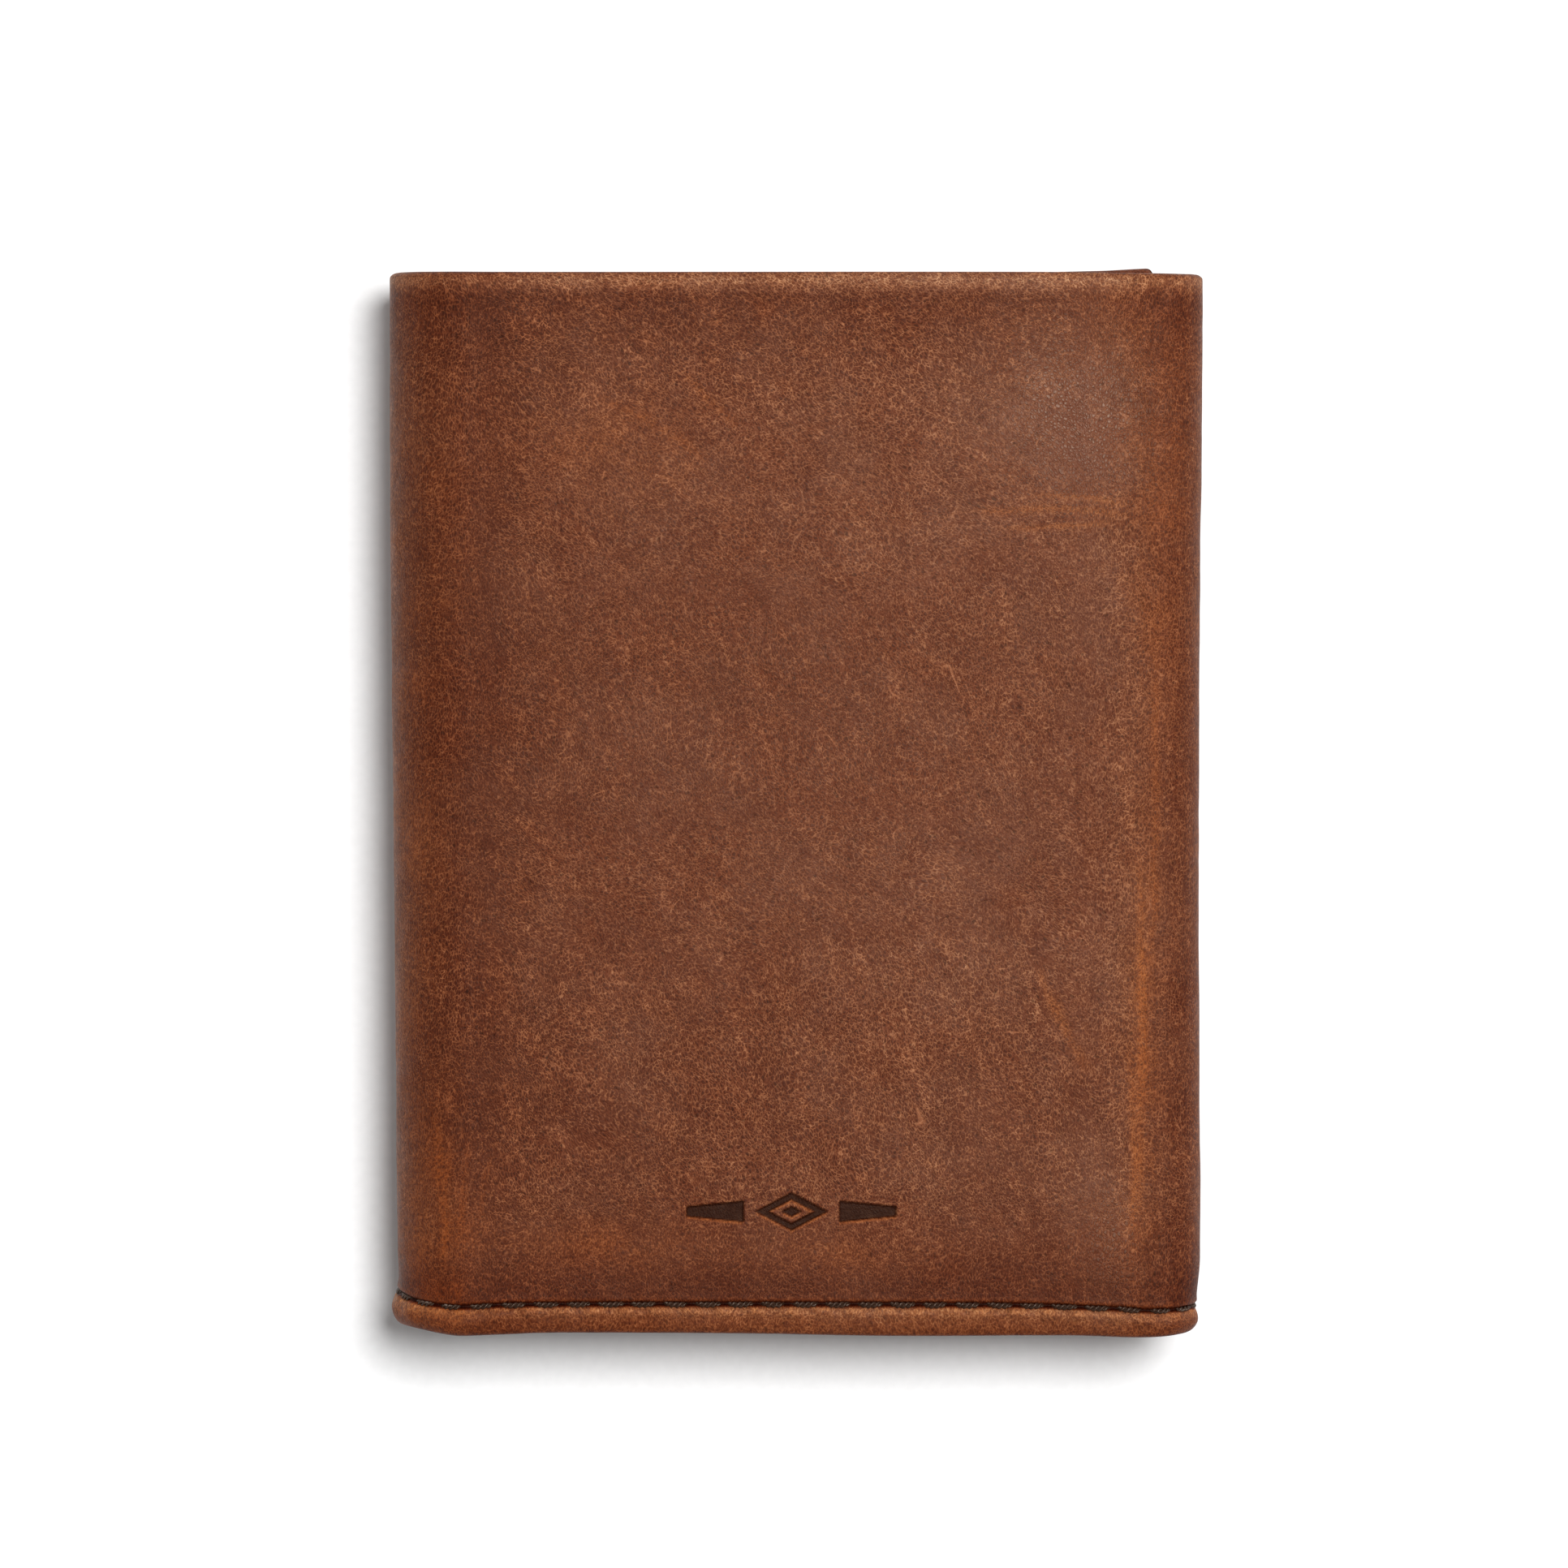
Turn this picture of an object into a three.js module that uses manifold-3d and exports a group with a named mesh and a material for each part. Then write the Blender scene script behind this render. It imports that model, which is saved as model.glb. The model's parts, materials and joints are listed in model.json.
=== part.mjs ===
// Trifold leather wallet, closed and lying on its back flap. Millimetres, +Z up.
// X runs across the wallet, +Y towards the open top of the banknote compartment, and the origin is the
// middle of the underside. One hide wraps all three panels: it lies flat as the back flap, turns round the
// left fold into the centre panel on top, and turns round the right fold into the inner flap, which is
// tucked between the other two.
import * as THREE from "three";
import { mergeVertices } from "three/addons/utils/BufferGeometryUtils.js";
import Module from "manifold-3d";

const wasm = await Module();
wasm.setup();

// Closed outline
const WIDTH = 82.6;
const HEIGHT = 108;

// Plies, counted inwards from the outer face of a panel
const SHELL = 1.2;
const TURN_IN = 0.7;
const LINING = 0.3;
const INNER_PANEL = 0.7;
const LEAF = 0.6;
const FILM = 0.25;
const FRAME = 0.7;
const PLY_GAP = 0.05;
const NOTE_GAP = 0.45;

// Air between the closed panels
const CENTRE_TO_INNER = 0.7;
const INNER_TO_BACK = 3.2;

// Free edges of the two flaps, and the corner radius there
const BACK_EDGE_X = 37.1;
const INNER_EDGE_X = -20.5;
const CORNER = 2;

// Seams
const HEM = 2.9; // from the bottom edge up to the hem seam
const EDGE_SEAM = 1.6; // from a flap's free edge in to its seam
const THREAD = 0.5;
const STITCH = 2.4;
const PITCH = 3.3;
const THREAD_TOP = 0.1; // depth of the thread below the outer face
const GROOVE_DEPTH = 0.7;
const GROOVE_SIDE = 0.3;
const TURN_IN_WIDTH = 6;
const TURN_IN_SHORT = 0.15; // its folded edge lies this far inside the outline
const GROOVES_APART = 0.9; // from the hem seam up to the start of an edge groove
const POCKET_THREAD = 0.25; // thickness of the thread of a pocket seam
const SEAM_SHORT = 1; // a pocket seam stops this far below the highest lip

// Edges and corners of the inner plies
const LINING_EDGE = TURN_IN_WIDTH + 0.5; // from the hide's edges in to the lining
const PANEL_INSET = 0.7; // from the bottom and top edges in to the pocket panels
const PANEL_SHORT = 0.1; // from a flap's free edge in to its pocket panel
const LEAF_CORNER = 1;
const WINDOW_CORNER = 2;
const FILM_RIM = 3; // how far the film reaches under its frame

// Depths of the plies
const LINING_AT = SHELL + PLY_GAP;
const PANEL_AT = LINING_AT + LINING + NOTE_GAP;
const POCKETS_AT = PANEL_AT + INNER_PANEL + PLY_GAP;
const LEAF_STEP = LEAF + PLY_GAP;

// Card slots, from the leaf nearest the hide to the one on top
const CENTRE_SLOTS = ["back", "middle", "front"];
const INNER_SLOTS = ["back", "front"];
const stackOf = (slots) => POCKETS_AT + slots.length * LEAF_STEP - PLY_GAP;
const BACK_STACK = POCKETS_AT + FILM + PLY_GAP + FRAME;

const INNER_Z = BACK_STACK + INNER_TO_BACK;
const THICKNESS = INNER_Z + stackOf(INNER_SLOTS) + CENTRE_TO_INNER + stackOf(CENTRE_SLOTS);

// The folds are half circles, as wide as the panels that they join are apart
const LEFT = { x: 0, z: THICKNESS / 2, radius: THICKNESS / 2 };
LEFT.x = -WIDTH / 2 + LEFT.radius;
const RIGHT = { x: 0, z: (THICKNESS + INNER_Z) / 2, radius: (THICKNESS - INNER_Z) / 2 };
RIGHT.x = WIDTH / 2 - RIGHT.radius;
const HINGE = 45; // degrees from the side of the fold to each hinge
const SPINE_GAP = 0.6; // degrees left free at each end of a spine
const ARC_STEP = 7.5; // degrees between the stations of an arc

const BOTTOM = -HEIGHT / 2;
const TOP = HEIGHT / 2;
const SEAM_Y = BOTTOM + HEM;
const LINING_Y = TOP - LINING_EDGE;

// Pockets and the card window: their sides, their highest lip, the step down from lip to lip, and how far in
// from their sides they are sewn
const CENTRE_POCKET = { x0: -28.5, x1: 32.5, lip: 28, step: 12, seam: 1.8 };
const INNER_POCKET = { x0: INNER_EDGE_X + 0.2, x1: RIGHT.x + 0.3, lip: 24, step: 14, seam: 1.2 };
const WINDOW_FRAME = { x0: -24.5, x1: 33.5, lip: 40, seam: 1.8 };
const WINDOW = { x0: -18.5, y0: -42, x1: 27.5, y1: 30 };

// How cutting solids and curves are made
const MARGIN = 1; // a cutting solid reaches this far past what it cuts
const OVERLAP = 0.04; // solids that join reach this far into each other
const MERGE = 1e-4; // corners nearer than this are one corner
const CORNER_STEPS = 3;

// Colours
const HIDE = { color: 0x7a4429, roughness: 0.55, metalness: 0 };
const POCKET_LEATHER = { color: 0x6b3a22, roughness: 0.6, metalness: 0 };
const CLOTH = { color: 0x3b2a20, roughness: 0.9, metalness: 0 };
const THREAD_BROWN = { color: 0x3a2a22, roughness: 0.8, metalness: 0 };
const CLEAR = { color: 0xdfe6e8, roughness: 0.1, metalness: 0 };

const wallet = new THREE.Group();

function addMesh(name, geometry, look) {
  const mesh = new THREE.Mesh(geometry, new THREE.MeshStandardMaterial(look));
  mesh.name = name;
  wallet.add(mesh);
}

// A closed geometry as a manifold solid, and back
function toSolid(geometry) {
  const bare = geometry.clone();
  bare.deleteAttribute("normal");
  bare.deleteAttribute("uv");
  const merged = mergeVertices(bare, MERGE);
  const vertProperties = new Float32Array(merged.attributes.position.array);
  const triVerts = new Uint32Array(merged.index.array);
  return new wasm.Manifold(new wasm.Mesh({ numProp: 3, vertProperties, triVerts }));
}

function toGeometry(solid) {
  const mesh = solid.getMesh();
  const geometry = new THREE.BufferGeometry();
  geometry.setAttribute("position", new THREE.BufferAttribute(mesh.vertProperties, 3));
  geometry.setIndex(new THREE.BufferAttribute(mesh.triVerts, 1));
  const flat = geometry.toNonIndexed();
  flat.computeVertexNormals();
  return flat;
}

// Stations along the outer face of the hide, seen along Y: a place, the inward normal and the way run so far
function arcStations(fold, from, to) {
  const steps = Math.round(Math.abs(to - from) / ARC_STEP);
  const stations = [];
  for (let i = 0; i <= steps; i++) {
    const angle = THREE.MathUtils.degToRad(from + ((to - from) * i) / steps);
    const normal = new THREE.Vector2(-Math.cos(angle), -Math.sin(angle));
    const place = new THREE.Vector2(fold.x, fold.z).addScaledVector(normal, -fold.radius);
    stations.push({ place, normal });
  }
  return stations;
}

function flatStation(x, z, up) {
  return { place: new THREE.Vector2(x, z), normal: new THREE.Vector2(0, up) };
}

function measured(stations) {
  let run = 0;
  return stations.map((station, i) => {
    if (i > 0) run += station.place.distanceTo(stations[i - 1].place);
    return { ...station, run };
  });
}

const PATHS = {
  back: measured([
    flatStation(BACK_EDGE_X, 0, 1),
    ...arcStations(LEFT, 270, 180 + HINGE),
  ]),
  leftSpine: measured(arcStations(LEFT, 180 + HINGE - SPINE_GAP, 180 - HINGE + SPINE_GAP)),
  centre: measured([
    ...arcStations(LEFT, 180 - HINGE, 90),
    ...arcStations(RIGHT, 90, HINGE),
  ]),
  rightSpine: measured(arcStations(RIGHT, HINGE - SPINE_GAP, -HINGE + SPINE_GAP)),
  inner: measured([
    ...arcStations(RIGHT, -HINGE, -90),
    flatStation(INNER_EDGE_X, INNER_Z, 1),
  ]),
};

// The station at a run along a path, and the part of a path between two runs
function stationAt(path, run) {
  const next = Math.max(1, path.findIndex((station) => station.run >= run));
  const [a, b] = [path[next - 1], path[next]];
  const share = (run - a.run) / (b.run - a.run);
  return {
    place: a.place.clone().lerp(b.place, share),
    normal: a.normal.clone().lerp(b.normal, share).normalize(),
    run,
  };
}

function between(path, from, to) {
  const inside = path.filter((station) => station.run > from && station.run < to);
  return [stationAt(path, from), ...inside, stationAt(path, to)];
}

// An outline in X and Z, extruded along Y
function alongY(outline, fromY, toY) {
  const shape = new THREE.Shape(outline);
  const geometry = new THREE.ExtrudeGeometry(shape, { depth: toY - fromY, bevelEnabled: false });
  geometry.rotateX(Math.PI / 2);
  geometry.translate(0, toY, 0);
  return geometry;
}

// An outline in Y and Z, extruded along X
function alongX(outline, fromX, toX) {
  const shape = new THREE.Shape(outline);
  const geometry = new THREE.ExtrudeGeometry(shape, { depth: toX - fromX, bevelEnabled: false });
  const [x, y, z] = [new THREE.Vector3(1, 0, 0), new THREE.Vector3(0, 1, 0), new THREE.Vector3(0, 0, 1)];
  geometry.applyMatrix4(new THREE.Matrix4().makeBasis(y, z, x));
  geometry.translate(fromX, 0, 0);
  return geometry;
}

const sunk = ({ place, normal }, depth) => place.clone().addScaledVector(normal, depth);

// A layer that follows the hide at a depth, from one Y to another
function layer(path, depth, thickness, fromY, toY) {
  const outer = path.map((station) => sunk(station, depth));
  const inner = path.map((station) => sunk(station, depth + thickness));
  return toSolid(alongY([...outer, ...inner.reverse()], fromY, toY));
}

// A flat piece with rounded corners
function roundedRectangle(x0, y0, x1, y1, radius) {
  const outline = new THREE.Shape();
  outline.moveTo(x0 + radius, y0);
  outline.absarc(x1 - radius, y0 + radius, radius, -Math.PI / 2, 0, false);
  outline.absarc(x1 - radius, y1 - radius, radius, 0, Math.PI / 2, false);
  outline.absarc(x0 + radius, y1 - radius, radius, Math.PI / 2, Math.PI, false);
  outline.absarc(x0 + radius, y0 + radius, radius, Math.PI, Math.PI * 1.5, false);
  return outline;
}

function plate(outline, z0, z1) {
  const geometry = new THREE.ExtrudeGeometry(outline, {
    depth: z1 - z0,
    bevelEnabled: false,
    curveSegments: CORNER_STEPS,
  });
  geometry.translate(0, 0, z0);
  return geometry;
}

function block(x0, y0, z0, x1, y1, z1) {
  const geometry = new THREE.BoxGeometry(x1 - x0, y1 - y0, z1 - z0);
  geometry.translate((x0 + x1) / 2, (y0 + y1) / 2, (z0 + z1) / 2);
  return toSolid(geometry);
}

// What a flap's rounded free corners leave of it. The other side reaches past the fold.
function freeCorners(edgeX, inset) {
  const past = Math.sign(edgeX) * -WIDTH;
  const [x0, x1] = edgeX > 0 ? [past, edgeX - inset] : [edgeX + inset, past];
  const outline = roundedRectangle(x0, BOTTOM + inset, x1, TOP - inset, CORNER);
  return toSolid(plate(outline, -MARGIN, THICKNESS + MARGIN));
}

// A path carried on straight at both ends, and one cut short there
function lengthened(path, by) {
  const past = (end, next) => {
    const away = end.place.clone().sub(next.place).setLength(by);
    return { place: end.place.clone().add(away), normal: end.normal };
  };
  const last = path.length - 1;
  return [past(path[0], path[1]), ...path, past(path[last], path[last - 1])];
}

function shortened(path, by) {
  return between(path, by, path[path.length - 1].run - by);
}

// Hide: full thickness, its top and bottom edges turned in, with a groove for the hem seam
function hide(path) {
  const turnInPath = shortened(path, TURN_IN_SHORT);
  const turnIn = (y0, y1) => layer(turnInPath, SHELL / 2, SHELL / 2 + TURN_IN, y0, y1);
  const half = THREAD / 2 + GROOVE_SIDE;
  const groovePath = lengthened(path, MARGIN);
  return layer(path, 0, SHELL, BOTTOM, TOP)
    .add(turnIn(BOTTOM + TURN_IN_SHORT, BOTTOM + TURN_IN_WIDTH))
    .add(turnIn(TOP - TURN_IN_WIDTH, TOP - TURN_IN_SHORT))
    .subtract(layer(groovePath, -MARGIN, MARGIN + GROOVE_DEPTH, SEAM_Y - half, SEAM_Y + half));
}

// A flap's hide also has its free edge turned in and sewn
function flapHide(path, edgeX, outerZ) {
  const into = -Math.sign(edgeX);
  const seamX = edgeX + into * EDGE_SEAM;
  const half = THREAD / 2 + GROOVE_SIDE;
  const grooveY = [SEAM_Y + GROOVES_APART, TOP - CORNER + GROOVE_SIDE];
  const span = (a, b) => [Math.min(a, b), Math.max(a, b)];
  const [turnX0, turnX1] = span(edgeX + into * TURN_IN_SHORT, edgeX + into * TURN_IN_WIDTH);
  const turnY = TOP - 2 * TURN_IN_SHORT;
  const turnZ = outerZ + SHELL;
  const grooveZ = [outerZ - MARGIN, outerZ + GROOVE_DEPTH];
  return hide(path)
    .add(block(turnX0, -turnY, turnZ - SHELL / 3, turnX1, turnY, turnZ + TURN_IN - PLY_GAP))
    .subtract(block(seamX - half, grooveY[0], grooveZ[0], seamX + half, grooveY[1], grooveZ[1]))
    .intersect(freeCorners(edgeX, 0));
}

// A seam's thread from the side: a cord that rises into one stitch for each pitch.
// at(run, depth) gives a point of the outline, and bends lists the runs where the hide turns.
function stitchedOutline(from, to, bends, at) {
  const count = Math.floor((to - from) / PITCH);
  const pitch = (to - from) / count;
  const stitch = (STITCH * pitch) / PITCH;
  const [crest, hollow, base] = [THREAD_TOP, THREAD_TOP + THREAD / 2, THREAD_TOP + THREAD];
  const outline = [at(from, hollow)];
  for (let i = 0; i < count; i++) {
    const start = from + i * pitch + (pitch - stitch) / 2;
    const end = start + stitch;
    const inside = bends.filter((run) => run > start && run < end);
    outline.push(at(start, hollow), at(start, crest));
    outline.push(...inside.map((run) => at(run, crest)), at(end, crest), at(end, hollow));
  }
  const below = bends.filter((run) => run > from && run < to).reverse();
  outline.push(at(to, hollow), at(to, base), ...below.map((run) => at(run, base)), at(from, base));
  return outline;
}

function hemThread(path, from, to) {
  const bends = path.map((station) => station.run);
  const at = (run, depth) => sunk(stationAt(path, run), depth);
  return alongY(stitchedOutline(from, to, bends, at), SEAM_Y - THREAD / 2, SEAM_Y + THREAD / 2);
}

function edgeThread(edgeX, outerZ) {
  const x = edgeX - Math.sign(edgeX) * EDGE_SEAM;
  const from = SEAM_Y + GROOVES_APART + GROOVE_SIDE;
  const at = (y, depth) => new THREE.Vector2(y, outerZ + depth);
  return alongX(stitchedOutline(from, TOP - CORNER, [], at), x - THREAD / 2, x + THREAD / 2);
}

// A pocket seam: down one side over the stepped lips, along the bottom, and up the other side.
// surfaces lists {depth, top} from the lowest and nearest leaf to the last; heightAt turns a depth into Z.
function pocketThread(x0, x1, surfaces, heightAt) {
  const high = POCKET_THREAD;
  const half = THREAD / 2;
  const under = [];
  const over = [];
  let from = SEAM_Y - half;
  surfaces.forEach(({ depth, top }, i) => {
    const last = i === surfaces.length - 1;
    const near = from + (i > 0 ? PLY_GAP : 0);
    const far = top + (last ? 0 : PLY_GAP);
    under.push(new THREE.Vector2(near, depth + PLY_GAP), new THREE.Vector2(far, depth + PLY_GAP));
    const shift = i > 0 ? high : 0;
    over.push(new THREE.Vector2(near + shift, depth + PLY_GAP + high));
    over.push(new THREE.Vector2(far + (last ? 0 : high), depth + PLY_GAP + high));
    from = top;
  });
  const outline = [...under, ...over.reverse()].map((p) => new THREE.Vector2(p.x, heightAt(p.y)));
  const side = (x) => toSolid(alongX(outline, x - half, x + half));
  const lowest = surfaces[0].depth + PLY_GAP;
  const z = [lowest + OVERLAP, lowest + high - OVERLAP].map(heightAt);
  const y = [SEAM_Y - half + OVERLAP, SEAM_Y + half - OVERLAP];
  const bottom = block(x0, y[0], Math.min(...z), x1, y[1], Math.max(...z));
  return toGeometry(side(x0).add(side(x1)).add(bottom));
}

// The leather, lining, strip and thread that bend round one fold
function addSpine(name, path) {
  addMesh(name + "_leather", toGeometry(hide(path)), HIDE);
  addMesh(name + "_lining", toGeometry(layer(path, LINING_AT, LINING, -LINING_Y, LINING_Y)), CLOTH);
  const strip = layer(path, PANEL_AT, INNER_PANEL, BOTTOM + PANEL_INSET, TOP - PANEL_INSET);
  addMesh(name + "_strip", toGeometry(strip), POCKET_LEATHER);
  const run = path[path.length - 1].run;
  addMesh(name + "_hem_thread", hemThread(path, 0, run), THREAD_BROWN);
}

function addCentrePanel() {
  const path = PATHS.centre;
  addMesh("centre_shell", toGeometry(hide(path)), HIDE);
  const lining = layer(path, LINING_AT, LINING, -LINING_Y, LINING_Y);
  addMesh("centre_lining", toGeometry(lining), CLOTH);
  const panel = layer(path, PANEL_AT, INNER_PANEL, BOTTOM + PANEL_INSET, TOP - PANEL_INSET);
  addMesh("centre_pocket_panel", toGeometry(panel), POCKET_LEATHER);
  addMesh("centre_hem_thread", hemThread(path, 0, path[path.length - 1].run), THREAD_BROWN);
  const heightAt = (depth) => THICKNESS - depth;
  addSlots("centre", CENTRE_POCKET, CENTRE_SLOTS, heightAt);
}

// Card slots: leaves of full height, one on another, each lip lower than the one behind it
function addSlots(name, pocket, slots, heightAt) {
  const surfaces = [];
  slots.forEach((slot, i) => {
    const depth = POCKETS_AT + i * LEAF_STEP;
    const lip = pocket.lip - i * pocket.step;
    const z = [heightAt(depth), heightAt(depth + LEAF)];
    const outline = roundedRectangle(pocket.x0, BOTTOM + PANEL_INSET, pocket.x1, lip, LEAF_CORNER);
    addMesh(name + "_slot_" + slot, plate(outline, Math.min(...z), Math.max(...z)), POCKET_LEATHER);
    surfaces.unshift({ depth: depth + LEAF, top: lip });
  });
  surfaces[slots.length - 1].top -= SEAM_SHORT;
  const thread = pocketThread(pocket.x0 + pocket.seam, pocket.x1 - pocket.seam, surfaces, heightAt);
  addMesh(name + "_pocket_thread", thread, THREAD_BROWN);
}

// A flap's pocket panel, inside its free corners
function flapPanel(path, edgeX) {
  return layer(path, PANEL_AT, INNER_PANEL, BOTTOM, TOP)
    .intersect(freeCorners(edgeX, PANEL_SHORT))
    .intersect(block(-WIDTH, BOTTOM + PANEL_INSET, 0, WIDTH, TOP - PANEL_INSET, THICKNESS));
}

function addInnerFlap() {
  const path = PATHS.inner;
  const run = path[path.length - 1].run;
  addMesh("inner_shell", toGeometry(flapHide(path, INNER_EDGE_X, INNER_Z)), HIDE);
  const liningPath = between(path, 0, run - LINING_EDGE);
  const lining = layer(liningPath, LINING_AT, LINING, -LINING_Y, LINING_Y);
  addMesh("inner_lining", toGeometry(lining), CLOTH);
  addMesh("inner_pocket_panel", toGeometry(flapPanel(path, INNER_EDGE_X)), POCKET_LEATHER);
  const seam = run - EDGE_SEAM - THREAD / 2 - GROOVE_SIDE;
  addMesh("inner_hem_thread", hemThread(path, 0, seam), THREAD_BROWN);
  addMesh("inner_edge_thread", edgeThread(INNER_EDGE_X, INNER_Z), THREAD_BROWN);
  addSlots("inner", INNER_POCKET, INNER_SLOTS, (depth) => INNER_Z + depth);
}

function addBackFlap() {
  const path = PATHS.back;
  const run = path[path.length - 1].run;
  addMesh("back_shell", toGeometry(flapHide(path, BACK_EDGE_X, 0)), HIDE);
  const liningPath = between(path, LINING_EDGE, run);
  const lining = layer(liningPath, LINING_AT, LINING, -LINING_Y, LINING_Y);
  addMesh("back_lining", toGeometry(lining), CLOTH);
  addMesh("back_pocket_panel", toGeometry(flapPanel(path, BACK_EDGE_X)), POCKET_LEATHER);
  const seam = EDGE_SEAM + THREAD / 2 + GROOVE_SIDE;
  addMesh("back_hem_thread", hemThread(path, seam, run), THREAD_BROWN);
  addMesh("back_edge_thread", edgeThread(BACK_EDGE_X, 0), THREAD_BROWN);
  addWindow();
}

// A window for an identity card: a clear film, and the leather frame that is sewn over it
function addWindow() {
  const { x0, y0, x1, y1 } = WINDOW;
  const film = roundedRectangle(x0 - FILM_RIM, y0 - FILM_RIM, x1 + FILM_RIM, y1 + FILM_RIM, LEAF_CORNER);
  addMesh("back_window_film", plate(film, POCKETS_AT, POCKETS_AT + FILM), CLEAR);

  const { lip, seam } = WINDOW_FRAME;
  const frameAt = POCKETS_AT + FILM + PLY_GAP;
  const frame = roundedRectangle(WINDOW_FRAME.x0, BOTTOM + PANEL_INSET, WINDOW_FRAME.x1, lip, LEAF_CORNER);
  frame.holes.push(roundedRectangle(x0, y0, x1, y1, WINDOW_CORNER));
  addMesh("back_window_frame", plate(frame, frameAt, frameAt + FRAME), POCKET_LEATHER);

  const surface = [{ depth: frameAt + FRAME, top: lip - SEAM_SHORT }];
  const thread = pocketThread(WINDOW_FRAME.x0 + seam, WINDOW_FRAME.x1 - seam, surface, (depth) => depth);
  addMesh("back_pocket_thread", thread, THREAD_BROWN);
}

addBackFlap();
addSpine("left_spine", PATHS.leftSpine);
addCentrePanel();
addSpine("right_spine", PATHS.rightSpine);
addInnerFlap();

export default wallet;
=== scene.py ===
"""Looks of a closed trifold wallet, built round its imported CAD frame.

Every ply is drawn in the hide's own flat coordinates: s runs round the wallet, y along its folds, and depth
is measured inwards from the hide's outer face. place() wraps them round the folds. s is x on the centre
panel. Lengths are in millimetres until a mesh is made.
"""

import json
import math
from types import SimpleNamespace

import bmesh
import bpy
import numpy as np
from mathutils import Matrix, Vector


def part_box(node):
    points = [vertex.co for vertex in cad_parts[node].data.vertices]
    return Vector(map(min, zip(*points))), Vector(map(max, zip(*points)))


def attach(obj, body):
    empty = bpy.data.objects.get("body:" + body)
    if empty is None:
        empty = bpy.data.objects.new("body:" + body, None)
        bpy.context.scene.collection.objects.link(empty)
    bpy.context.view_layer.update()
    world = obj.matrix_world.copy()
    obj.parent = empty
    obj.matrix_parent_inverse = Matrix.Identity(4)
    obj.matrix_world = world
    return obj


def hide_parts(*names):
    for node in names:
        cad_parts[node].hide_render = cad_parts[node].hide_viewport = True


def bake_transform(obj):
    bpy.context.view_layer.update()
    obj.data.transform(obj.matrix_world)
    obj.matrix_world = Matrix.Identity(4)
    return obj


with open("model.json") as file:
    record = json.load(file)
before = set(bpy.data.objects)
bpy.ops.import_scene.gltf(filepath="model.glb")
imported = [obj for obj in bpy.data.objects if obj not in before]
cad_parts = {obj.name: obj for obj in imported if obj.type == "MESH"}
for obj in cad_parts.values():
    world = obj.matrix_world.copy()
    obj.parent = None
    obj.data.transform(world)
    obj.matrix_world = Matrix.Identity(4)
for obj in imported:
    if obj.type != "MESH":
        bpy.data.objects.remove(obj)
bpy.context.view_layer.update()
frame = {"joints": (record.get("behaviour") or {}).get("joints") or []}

MM = 0.001

# ---- places from the frame


def node_box(node):
    """A CAD node's lowest and highest corner, in millimetres."""
    return [np.array(corner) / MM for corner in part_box(node)]


def fold_between(lower, upper):
    """A fold's centre and radius: its two hinges lie on its outer face, each at 45 degrees."""
    places = {joint["name"]: np.array(joint["pos_m"]) / MM for joint in frame["joints"]}
    low, high = places[lower], places[upper]
    half, middle = (high[2] - low[2]) / 2, (low[2] + high[2]) / 2
    side = np.sign(low[0])
    return SimpleNamespace(x=low[0] - side * half, z=middle, r=half * math.sqrt(2), side=side)


LEFT = fold_between("outer_fold_lower", "outer_fold_upper")
RIGHT = fold_between("inner_fold_lower", "inner_fold_upper")
TOP_FACE = LEFT.z + LEFT.r
INNER_FACE = RIGHT.z - RIGHT.r
HALF_HEIGHT = node_box("centre_shell")[1][1]

LEFT_MIDDLE = LEFT.x - math.pi / 2 * LEFT.r
LEFT_END = LEFT.x - math.pi * LEFT.r
RIGHT_MIDDLE = RIGHT.x + math.pi / 2 * RIGHT.r
RIGHT_END = RIGHT.x + math.pi * RIGHT.r
BACK_EDGE = LEFT_END - (node_box("back_shell")[1][0] - LEFT.x)
INNER_EDGE = RIGHT_END + (RIGHT.x - node_box("inner_shell")[0][0])

# The hem seam, and the seams along the free edges.
SEAM_Y = (node_box("centre_hem_thread")[0][1] + node_box("centre_hem_thread")[1][1]) / 2
PITCH = 3.3
STITCH = 2.7
FIRST_STITCH = 0.95
EDGE_SEAM = 1.6

# The hide's thickness, its turned edges' thickness and width, and how far in each edge is rounded.
SHELL = 1.2
TURNED = 1.9
TURN_IN = 6.0
CORNER = 0.8
CORNER_STARTS = 40.0
TOP_ROUND = 2.7
FOLD_TOP_ROUND = 0.6
HEM_ROUND = 1.9
FOLD_HEM_ROUND = 1.1
EDGE_ROUND = 1.0

# How far the hem seam, the bottom edge and the top edge leave their straight lines: (s, rise).
SEAM_RISE = ((-75, 0), (-58, 0.9), (-46, 1.2), (-42.3, 0.8), (-40, 0.4), (-37.5, 0.1), (-34.5, -0.1),
             (-30, 0.1), (-20, 0.2), (22, 0.1), (33, -0.3), (36, -0.5), (38.5, -0.45), (41, -0.3),
             (44, -0.15), (52, 0.1), (65, 0))
HEM_RISE = ((-75, 0), (-58, 0.4), (-46, 0.6), (-42.3, 0.5), (-39, 0.25), (-37, -0.02), (-34.5, -0.25),
            (-31, -0.15), (-26, 0.05), (-20, 0.08), (-5, 0.0), (10, -0.25), (28, -0.2), (34.7, -0.4),
            (38, -0.3), (41, -0.1), (44, 0.1), (52, 0.3), (65, 0))
TOP_RISE = ((-129.5, 0.18), (-127.5, 0.14), (-123, 0), (-55, 0), (-46, 0.5), (-41.5, 0.4), (-36, 0.25),
            (-28, 0.2), (25, 0.2), (37, 0.05), (40, 0.05), (44, 0.15), (65, 0))
RISE_STARTS = -44.0
TOP_RISE_STARTS = 42.0
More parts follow.
